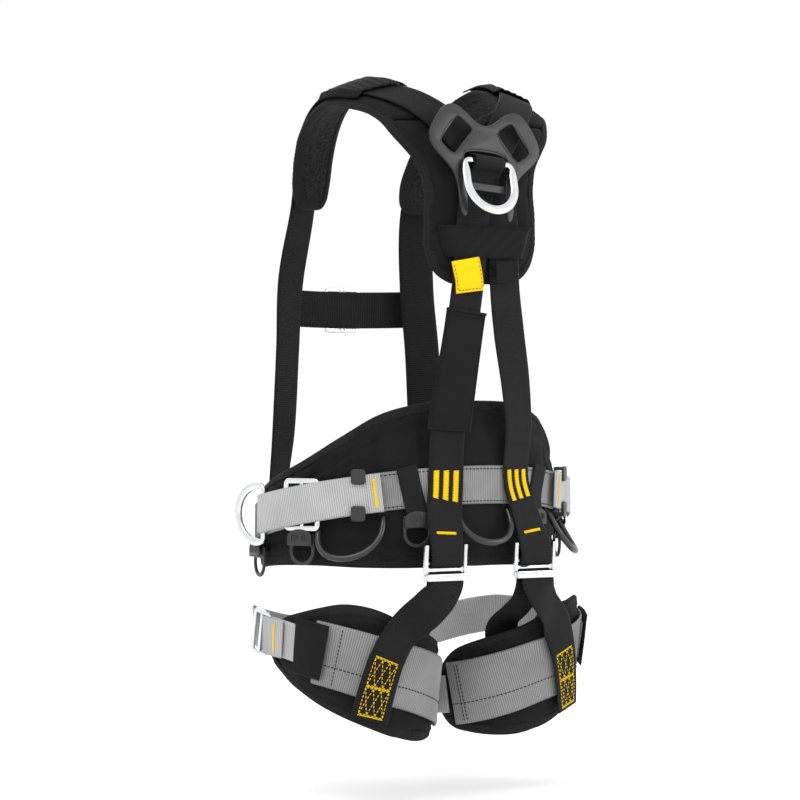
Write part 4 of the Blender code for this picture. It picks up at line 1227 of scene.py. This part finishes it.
def make_belt_pad():
    def seams(angle, x, y, d):
        low, high = belt_edges(angle)
        found = near(high - y, 0.027, 0.005) * (abs(angle) < 112)
        found = max(found, near(y - low, 0.025, 0.005) * (abs(angle) < 112))
        if 0.0 < y < high - 0.027:
            for upright in (23, 41, 58, 78):
                found = max(found, 0.9 * near(abs(angle), upright, 1.7))
        return max(found, 0.5 * near(d, BINDING + 0.001, 0.0035))

    to_world, distance_of = strip_pad(
        "belt_pad", belt_place, belt_edges, -BELT_END, BELT_END, seams, "harness", "back_support_pad")
    lines = []
    angles = np.linspace(-110, 110, 160)
    for from_top, offset in ((True, 0.0262), (True, 0.0280), (False, 0.0242), (False, 0.0262)):
        spots = []
        for angle in angles:
            low, high = belt_edges(angle)
            spots.append((distance_of(angle), high - offset if from_top else low + offset))
        lines += seam_on(spots, to_world, PAD_MIDDLE - 0.0030)
    threads("belt_pad_stitches", lines, "black_thread", "harness", SEAM_THREAD)


def belt_rows(stops, count):
    angles = np.linspace(stops[0][0], stops[-1][0], count + 1)
    rows = []
    for angle in angles:
        stand_off = np.interp(angle, [stop[0] for stop in stops], [stop[1] for stop in stops])
        rows.append(facing(waist_point(angle, 0.0, float(stand_off)), waist_normal(angle)))
    return np.array(rows)


def make_waist_webbing():
    rows = belt_rows(((-97, WEB_ON_PAD), (97, WEB_ON_PAD)), 60)
    webbing("waist_web", rows, "grey", "harness", replaces=["waist_webbing"])
    at = on_strap(rows)
    seam = long_seams(at, 24, (-0.0188, 0.0188))
    threads("waist_web_stitches", seam, "black_thread", "harness", WEB_THREAD)
    stops = ((98.5, WEB_ON_PAD), (121, WEB_ON_PAD), (140, 0.003), (220, 0.003), (239, WEB_ON_PAD),
             (261.5, WEB_ON_PAD))
    webbing("front_waist_web", belt_rows(stops, 70), "grey", "harness", replaces=["front_waist_webbing"])


def side_ring_place(side):
    centre = waist_point(side * SIDE_RING_ANGLE, 0.0, SIDE_STRAP + RING_FOLD)
    outward = waist_normal(side * SIDE_RING_ANGLE)
    forward = Vector((side * outward.y, -side * outward.x, 0.0))
    swing = radians(SIDE_RING_SWING)
    reach = forward * cos(swing) + outward * sin(swing)
    face = outward * cos(swing) - forward * sin(swing)
    return outward_frame(centre, face, -reach)


def make_side_straps():
    for word, side in SIDES:
        centre = waist_point(SIDE_RING_ANGLE, 0.0, SIDE_STRAP + RING_FOLD)
        under = belt_rows(((52, SIDE_STRAP), (86, SIDE_STRAP)), 12)
        under[:, 3:6] *= -1
        turn = fold(centre, UP, -waist_normal(SIDE_RING_ANGLE), RING_FOLD, 180)
        over = belt_rows(((39, 0.0262), (51, 0.0266), (59, 0.0314), (81, 0.0316), (87, 0.0325)), 24)
        rows = np.concatenate([under, turn, over[::-1]])
        rows[:, (0, 3)] *= side
        webbing(f"side_strap_{word}_web", rows, "light", "harness", replaces=[f"side_strap_{word}"],
                rib=0.00022)
        at = on_strap(rows)
        end = at.length
        tack = bar_tack(at, end - 0.0085, 0.0165, 0.0017)
        tack += bar_tack(at, distance_of_fold(rows, centre, side), 0.0185, 0.0020)
        threads(f"side_strap_{word}_tacks", tack, "yellow_thread", "harness", TACK_THREAD)
        hem = [facing(*at(end - x, 0.0)) for x in (0.0165, 0.011, 0.0055, 0.0002)]
        webbing(f"side_strap_{word}_hem", hem, "light", "harness", thick=0.0016, rib=0.0002)
        hem_at = on_strap(hem, 0.0012)
        more = bar_tack(hem_at, 0.0085, 0.0165, 0.0017)
        threads(f"side_strap_{word}_hem_tack", more, "yellow_thread", "harness", TACK_THREAD)
        d_ring(f"side_ring_{word}_forged", 0.038, 0.047, 0.0095, f"side_ring_{word}", side_ring_place(side),
               f"side_d_ring_{word}")
        place = outward_frame(waist_point(side * 70, 0.0, 0.0256), waist_normal(side * 70))
        buckle(f"belt_buckle_{word}_frame", 0.024, 0.0305, 0.0032, 0.0030, (0.0,), "harness", place,
               f"belt_buckle_{word}")
        make_keeper(word, side)


def distance_of_fold(rows, centre, side):
    """The distance along a side strap where it turns round the ring's bar."""
    spot = np.array((centre.x * side, centre.y, centre.z))
    middles, _, _, along = strap_frames(rows)
    reach = middles - spot
    forward = -reach[:, 1] + 0.0006 * np.arange(len(reach)) / len(reach)
    return along[int(np.argmax(forward))]


def make_keeper(word, side):
    """A moulded C that holds the strap's loose end: a back and two rounded lugs."""
    angle = side * 47.5
    outward = waist_normal(angle)
    along = outward.cross(UP)
    base = Matrix((along, UP, outward)).transposed().to_4x4()
    base.translation = waist_point(angle, 0.0, 0.0)
    body = f"keeper_{word}"
    lug = rounded_box(-0.0085, -0.0090, 0.0085, 0.0090, 0.0040)
    for end, label in ((1, "up"), (-1, "down")):
        place = base @ Matrix.Translation((0.0, end * 0.0212, 0.0296))
        cut_plate(f"keeper_lug_{word}_{label}", [lug], 0.0034, 0.0013, "clip", body, place)
        place = base @ Matrix.Translation((0.0, end * 0.0275, 0.0240))
        rounded_block(f"keeper_edge_{word}_{label}", (0.0150, 0.0040, 0.0120), 0.0013, "clip", body, place)
    place = base @ Matrix.Translation((0.0, 0.0, 0.01845))
    rounded_block(f"keeper_back_{word}", (0.0130, 0.0575, 0.0009), 0.0003, "clip", body, place,
                  [f"strap_keeper_{word}"])


GEAR_LOOPS = (("left", 38.5, 63.5, 0.047), ("right", -63.5, -38.5, 0.047), ("rear", -11.0, 11.0, 0.043))
GEAR_LOOP_LEAN = 28.0
TUBE_RADIUS = 0.0038


def make_gear_loops():
    for word, start, end, depth in GEAR_LOOPS:
        points = []
        for k in range(29):
            t = k / 28
            angle = start + (end - start) * (0.5 - 0.5 * cos(pi * t))
            reach = depth * sin(pi * t) ** 0.8
            drop, out = reach * cos(radians(GEAR_LOOP_LEAN)), reach * sin(radians(GEAR_LOOP_LEAN))
            points.append(waist_point(angle, -0.0285 - drop, PAD_THICK + TUBE_RADIUS + 0.0005 + out))

        def swell(t):
            return 1.0 - 0.16 * float(ease((abs(t - 0.5) - 0.44) / 0.05))

        hose(f"gear_loop_{word}_tube", points, TUBE_RADIUS, "tube", f"gear_loop_{word}_body",
             [f"gear_loop_{word}"], swell)
        for k, (spot, angle) in enumerate(((points[0], start), (points[-1], end))):
            outward = waist_normal(angle)
            top = waist_point(angle, -0.0215, PAD_THICK + 0.0014)
            tab = [facing(top, outward), facing(spot + UP * 0.0028 - outward * 0.0022, outward),
                   facing(spot - UP * 0.0005 - outward * 0.0030, outward)]
            webbing(f"gear_loop_{word}_tab_{k}", tab, "black", "harness", width=0.012, thick=0.0014,
                    rib=0.0001)


ACCESSORY_SPOTS = (("rear", 26.0, -0.0335), ("side", 71.0, -0.0352), ("front", 99.5, -0.0348))
ACCESSORY_FOLD = 0.0042
ACCESSORY_STAND_OFF = PAD_THICK + 0.0016 + ACCESSORY_FOLD


def accessory_outline(half, top, bottom, corner):
    belly = min(half, top - bottom - corner)
    points = arc(half - corner, top - corner, corner, corner, 0, 90, 5)
    points += arc(corner - half, top - corner, corner, corner, 90, 180, 5)
    return points + arc(0.0, bottom + belly, half, belly, 180, 360, 32)


def accessory_cap(half, top, bottom):
    """An arched plate: round along the top and straight below."""
    points = arc(0.0, top - 0.0095, half, 0.0095, 0, 180, 20)
    points += [(-half, bottom + 0.001), (0.001 - half, bottom)]
    return points + [(half - 0.001, bottom), (half, bottom + 0.001)]


def rounded_box(low_x, low_y, high_x, high_y, radius):
    points = []
    for x, y, start in ((high_x - radius, high_y - radius, 0), (low_x + radius, high_y - radius, 90),
                        (low_x + radius, low_y + radius, 180), (high_x - radius, low_y + radius, 270)):
        points += arc(x, y, radius, radius, start, start + 90, 4)
    return points


def make_accessory_loops():
    for spot, reach, height in ACCESSORY_SPOTS:
        for word, side in SIDES:
            angle = side * reach
            outward = waist_normal(angle)
            centre = waist_point(angle, height, ACCESSORY_STAND_OFF)
            place = outward_frame(centre, outward)
            body = f"{spot}_accessory_{word}"
            outlines = [
                accessory_outline(0.0170, 0.0020, -0.0350, 0.0035),
                rounded_box(-0.0135, -0.0060, 0.0135, -0.0020, 0.001),
                accessory_outline(0.0128, -0.0125, -0.0308, 0.003),
            ]
            cut_plate(f"{spot}_accessory_loop_{word}_moulding", outlines, 0.0032, 0.0009, "clip", body, place,
                      [f"{spot}_accessory_loop_{word}"])
            arch = accessory_cap(0.0165, 0.0075, -0.0115)
            cap = place @ Matrix.Translation((0.0, 0.0, ACCESSORY_FOLD + 0.0024))
            cut_plate(f"{spot}_accessory_cap_{word}", [arch], 0.0020, 0.0007, "clip", body, cap)
            for k in (-3, -2, -1, 1, 2, 3):
                rib = cap @ Matrix.Translation((k * 0.0031 + (0.0012 if k > 0 else -0.0012), -0.0020, 0.0011))
                rounded_block(f"{spot}_accessory_rib_{word}_{k + 3}", (0.0014, 0.0078, 0.0014), 0.0005,
                              "tube", body, rib)
            boss = [cap @ Vector((0.0026 * cos(a), 0.0026 * sin(a) - 0.0020, 0.0010))
                    for a in np.linspace(0, 2 * pi, 13)]
            hose(f"{spot}_accessory_boss_{word}", boss, 0.0007, "tube", body, around=8)
            front = centre + outward * ACCESSORY_FOLD
            if spot == "rear":
                top = waist_point(angle + side * 4.0, 0.026, SIDE_STRAP)
                upper = [top, waist_point(angle + side * 0.6, -0.021, SIDE_STRAP)]
            else:
                upper = [centre - outward * 0.0014 + UP * 0.0084, centre + outward * 0.0024 + UP * 0.0034]
            rows = [facing(point, outward) for point in upper]
            rows += [facing(front + UP * 0.001, outward)]
            rows += fold(centre, UP.cross(outward), outward, ACCESSORY_FOLD, 180)
            rows += [facing(centre - outward * ACCESSORY_FOLD + UP * 0.0084, -outward)]
            webbing(f"{spot}_accessory_tab_{word}_web", rows, "black", "harness", width=0.025,
                    replaces=[f"{spot}_accessory_tab_{word}"], rib=0.0001)


# ---------------------------------------------------------------- legs
def leg_rows(side, stops, count):
    stops = np.array(stops, float)
    rows = []
    for angle in np.linspace(stops[0, 0], stops[-1, 0], count + 1):
        height = float(np.interp(angle, stops[:, 0], stops[:, 1]))
        stand_off = float(np.interp(angle, stops[:, 0], stops[:, 2]))
        middle = thigh_point(side, angle, height, stand_off)
        up = thigh_point(side, angle, height + 0.01, stand_off) - middle
        run = thigh_point(side, angle + 1, height, stand_off) - middle
        outward = up.cross(run)
        if outward.dot(thigh_normal(side, angle)) < 0:
            outward = -outward
        rows.append(facing(middle, outward.normalized()))
    return np.array(rows)


def leg_edges(angle):
    low, high = between(LEG_BOTTOM, angle)[0], between(LEG_TOP, angle)[0]
    into = max(LEG_PAD_INNER + LEG_ROUND - angle, angle - LEG_PAD_OUTER + LEG_ROUND) / LEG_ROUND
    return rounded_end(low, high, into)


def make_leg(word, side):
    body = f"leg_loop_{word}"

    def seams(angle, x, y, d):
        upright = max(0.8 * near(angle, spot, 1.9) for spot in (-40, 40))
        return max(0.55 * near(d, BINDING + 0.001, 0.0035), upright)

    strip_pad(f"leg_pad_{word}_quilt", lambda a, y, h: thigh_point(side, a, y, h), leg_edges, LEG_PAD_INNER,
              LEG_PAD_OUTER, seams, body, f"leg_pad_{word}")
    top = WEB_ON_PAD + LAYER
    wide = leg_rows(side, ((-64, 0, WEB_ON_PAD), (58, 0, WEB_ON_PAD)), 40)
    webbing(f"leg_webbing_{word}_web", wide, "grey", body, width=0.075, replaces=[f"leg_webbing_{word}"])
    at = on_strap(wide)
    seam = long_seams(at, 12, (-side * 0.0125,))
    seam += seams_across(at, (0.012, 0.016, at.length - 0.030), 0.034)
    threads(f"leg_webbing_{word}_stitches", seam, "black_thread", body, WEB_THREAD)
    stops = (
        (52, 0.0015, top), (60, 0.003, top), (86, 0.010, top), (100, 0.015, top - 0.002), (126, 0.026, 0.004),
        (180, 0.036, 0.003), (235, 0.024, 0.003), (260, 0.010, 0.003), (277, 0.001, WEB_ON_PAD + 0.0004),
        (293, 0.000, WEB_ON_PAD),
    )
    strap = leg_rows(side, stops, 100)
    webbing(f"leg_front_strap_{word}_web", strap, "light", body, replaces=[f"leg_front_strap_{word}"])
    elastic = leg_rows(side, ((49, 0.002, top + LAYER), (69, 0.004, top + LAYER)), 8)
    webbing(f"leg_keeper_{word}_elastic", elastic, "cover", body, width=0.066,
            replaces=[f"leg_keeper_{word}"], rib=0.00005, cup=0.0004)
    at = on_strap(elastic)
    seam = seams_along(at, 0.002, at.length - 0.002, (-0.0300, 0.0300))
    threads(f"leg_keeper_{word}_stitches", seam, "black_thread", body, SEAM_THREAD)
    make_leg_buckle(word, side, body, top)
    make_riser(word, side, body, top)


def make_leg_buckle(word, side, body, top):
    angle = 93
    outward = thigh_normal(side, angle)
    place = outward_frame(thigh_point(side, angle, 0.014, top + 0.0046), outward, (0, 0.18, 1))
    buckle(f"leg_buckle_{word}_frame", 0.017, 0.0270, 0.0026, 0.0040, (0.0005,), body, place,
           f"leg_buckle_{word}")
    stops = ((78, 0.008, top + 0.0046), (84, 0.0095, top + 0.0072), (90, 0.0115, top + 0.0076))
    lap = leg_rows(side, stops, 8)
    webbing(f"leg_lap_{word}", lap, "light", body, thick=0.0026)
    at = on_strap(lap, 0.0017)
    tack = bar_tack(at, at.length * 0.35, 0.0165, 0.0014)
    threads(f"leg_lap_{word}_tack", tack, "yellow_thread", body, TACK_THREAD)


def make_riser(word, side, body, top):
    bar = Vector((ADJUSTER.x, ADJUSTER.y, ADJUSTER.z - ADJUSTER_REACH))
    outward = Vector((0, 1, 0))
    front = bar + outward * ADJUSTER_FOLD
    back = bar - outward * ADJUSTER_FOLD
    rows = [
        facing(thigh_point(1, 21, -0.062, top), thigh_normal(1, 21)),
        facing(thigh_point(1, 17, -0.030, top), thigh_normal(1, 17)),
        facing(thigh_point(1, 10, 0.018, top), thigh_normal(1, 10)),
        facing(thigh_point(1, 3, 0.050, top + 0.002), thigh_normal(1, 3)),
        facing(Vector((0.085, 0.1640, -0.1400)), Vector((0.10, 0.98, 0.20))),
        facing(front + Vector((0.005, 0.000, -0.0160)), outward),
        facing(front - UP * 0.006, outward),
    ]
    rows += fold(bar, outward.cross(UP), outward, ADJUSTER_FOLD, 180)
    rows += [
        facing(back - UP * 0.008, -outward),
        facing(back + Vector((0.000, -0.006, -0.024)), Vector((0, -0.97, 0.25))),
        facing(Vector((0.064, 0.1300, -0.1490)), Vector((0.0, -0.93, 0.36))),
        facing(Vector((0.062, 0.1060, -0.1690)), Vector((0.05, -0.93, 0.30))),
        facing(thigh_point(1, -24, 0.030, -0.0108), -thigh_normal(1, -24)),
        facing(thigh_point(1, -27, -0.004, -0.0108), -thigh_normal(1, -27)),
    ]
    rows = np.array(rows)
    rows[:, (0, 3)] *= side
    webbing(f"leg_riser_{word}_web", rows, "black", body, replaces=[f"leg_riser_{word}"], rib=0.00026)
    at = on_strap(rows)
    boxes = box_of_crosses(at, 0.006, 0.031, 0.0145) + box_of_crosses(at, 0.040, 0.031, 0.0145)
    for spot in (0.0045, 0.0385, 0.0725):
        boxes += bar_tack(at, spot, 0.0145, 0.0006, 0.0007)
    threads(f"leg_riser_{word}_boxes", boxes, "yellow_thread", body, BOX_THREAD)


def make_adjuster(word, side):
    """A bent slide: two arms that stand up beside the strap, a bar for the strap, and a wide bright lip."""
    base = outward_frame(Vector((side * ADJUSTER.x, ADJUSTER.y, ADJUSTER.z)), Vector((0, 1, 0)))
    low = -ADJUSTER_REACH - 0.0026
    arm, middle = (0.0050, ADJUSTER_ARM - low, 0.0052), (ADJUSTER_ARM + low) / 2
    cheek = (0.0040, 0.0080, 0.0096)
    parts = (
        (f"arm_{word}_a", arm, 0.0014, (-0.0275, middle, 0.0)),
        (f"arm_{word}_b", arm, 0.0014, (0.0275, middle, 0.0)),
        (f"bar_{word}", (0.0520, 0.0044, 0.0044), 0.0015, (0.0, 0.0, 0.0)),
        (f"lip_{word}", (0.0600, 0.0082, 0.0022), 0.0009, (0.0, -ADJUSTER_REACH - 0.0005, 0.0081)),
        (f"lower_bar_{word}", (0.0560, 0.0044, 0.0044), 0.0015, (0.0, -ADJUSTER_REACH, 0.0)),
        (f"cheek_{word}_a", cheek, 0.0012, (-0.0280, -ADJUSTER_REACH - 0.0003, 0.0042)),
        (f"cheek_{word}_b", cheek, 0.0012, (0.0280, -ADJUSTER_REACH - 0.0003, 0.0042)),
    )

    def lean(p):
        return p + Vector((0.0, 0.0, 0.0016 * float(ease(p.y / 0.018))))

    for part, size, edge, spot in parts:
        stands_for = [f"rear_adjuster_{word}"] if part.startswith("lip") else ()
        bend = lean if part.startswith("arm") else None
        rounded_block(f"adjuster_{part}", size, edge, "alloy", f"adjuster_{word}",
                      base @ Matrix.Translation(spot), stands_for, bend)


# ---------------------------------------------------------------- chest and front
def make_front():
    strap = [
        [0.100, -0.1250, 0.212, 0.25, -0.97, 0.0],
        [0.070, -0.1340, 0.211, 0.18, -0.98, 0.0],
        [0.000, -0.1400, 0.210, 0.00, -1.00, 0.0],
        [-0.070, -0.1340, 0.211, -0.18, -0.98, 0.0],
        [-0.100, -0.1250, 0.212, -0.25, -0.97, 0.0],
    ]
    webbing("chest_web", strap, "black", "harness", replaces=["chest_strap"])
    at = on_strap(strap)
    seam = box_of_crosses(at, 0.004, 0.022, 0.0150, 2)
    seam += box_of_crosses(at, at.length - 0.026, 0.022, 0.0150, 2)
    threads("chest_web_boxes", seam, "yellow_thread", "harness", TACK_THREAD)
    for word, spot in (("chest", Vector((0.0, -0.1436, 0.210))), ("front", waist_point(180, 0.0, 0.0070))):
        place = outward_frame(spot, Vector((0, -1, 0)))
        buckle(f"{word}_buckle_frame", 0.027, 0.0280, 0.0030, 0.0040, (-0.003, 0.003), "harness", place,
               f"{word}_buckle")


# ---------------------------------------------------------------- camera, light and floor
VIEW_AZIMUTH = 145.0
VIEW_DISTANCE = 4.0
VIEW_WIDTH = 0.964  # what the frame takes in at the origin's distance
VIEW_UP = 0.0988
VIEW_LEFT = 0.0096
FLOOR_HEIGHT = -0.37


def make_camera():
    towards = Vector((sin(radians(VIEW_AZIMUTH)), -cos(radians(VIEW_AZIMUTH)), 0.0))
    right = UP.cross(towards)
    data = bpy.data.cameras.new("camera")
    data.sensor_width = 36.0
    data.lens = data.sensor_width * VIEW_DISTANCE / VIEW_WIDTH
    made = put("camera", data)
    made.location = towards * VIEW_DISTANCE + UP * VIEW_UP - right * VIEW_LEFT
    made.rotation_euler = towards.to_track_quat("Z", "Y").to_euler()
    bpy.context.scene.camera = made


def area_light(name, place, size, power):
    data = bpy.data.lights.new(name, "AREA")
    data.shape = "DISK"
    data.size = size
    data.energy = power
    made = put(name, data)
    made.location = place
    made.rotation_euler = Vector(place).to_track_quat("Z", "Y").to_euler()


def make_studio():
    world = bpy.data.worlds.new("studio")
    world.use_nodes = True
    tree = world.node_tree
    place = tree.nodes.new("ShaderNodeTexCoord")
    split = tree.nodes.new("ShaderNodeSeparateXYZ")
    tree.links.new(place.outputs["Generated"], split.inputs[0])
    band = node(tree, "ShaderNodeMapRange", interpolation_type="SMOOTHSTEP")
    for key, value in (("From Min", -0.5), ("From Max", -0.1), ("To Min", 0.35), ("To Max", 1.02)):
        band.inputs[key].default_value = value
    tree.links.new(split.outputs[2], band.inputs["Value"])
    tree.links.new(band.outputs["Result"], tree.nodes["Background"].inputs["Color"])
    bpy.context.scene.world = world
    bpy.context.scene.view_settings.view_transform = "Standard"
    data = bpy.data.lights.new("window", "SUN")
    data.energy = 1.0
    data.angle = radians(38)
    window = put("window", data)
    window.rotation_euler = Vector((0.75, 0.50, 0.95)).to_track_quat("Z", "Y").to_euler()
    area_light("fill", (-2.2, 2.4, 1.0), 1.2, 22)
    area_light("front", (-1.0, -3.0, 1.8), 2.0, 30)
    mesh = bpy.data.meshes.new("floor")
    disc = bmesh.new()
    bmesh.ops.create_circle(disc, cap_ends=True, segments=96, radius=30.0)
    disc.to_mesh(mesh)
    disc.free()
    floor = put("floor", mesh)
    floor.location.z = FLOOR_HEIGHT
    made, tree, shader = shader_of("floor", 0.9, gloss=0.0)
    colour_of(tree, (0.93, 0.93, 0.93), (0.95, 0.95, 0.95), noise_at(tree, 3.0), shader)
    mesh.materials.append(made)
    floor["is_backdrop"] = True


make_camera()
make_studio()
make_yoke()
make_main_straps()
make_band_and_sleeves()
make_dorsal_plate()
make_dorsal_ring()
make_back_labels()
make_belt_pad()
make_waist_webbing()
make_side_straps()
make_gear_loops()
make_accessory_loops()
for WORD, SIDE in SIDES:
    make_adjuster(WORD, SIDE)
    make_leg(WORD, SIDE)
make_front()

boxes = {"cad": CAD_BOX, "visual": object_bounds()}
{key: [list(corner) for corner in box] for key, box in boxes.items()}
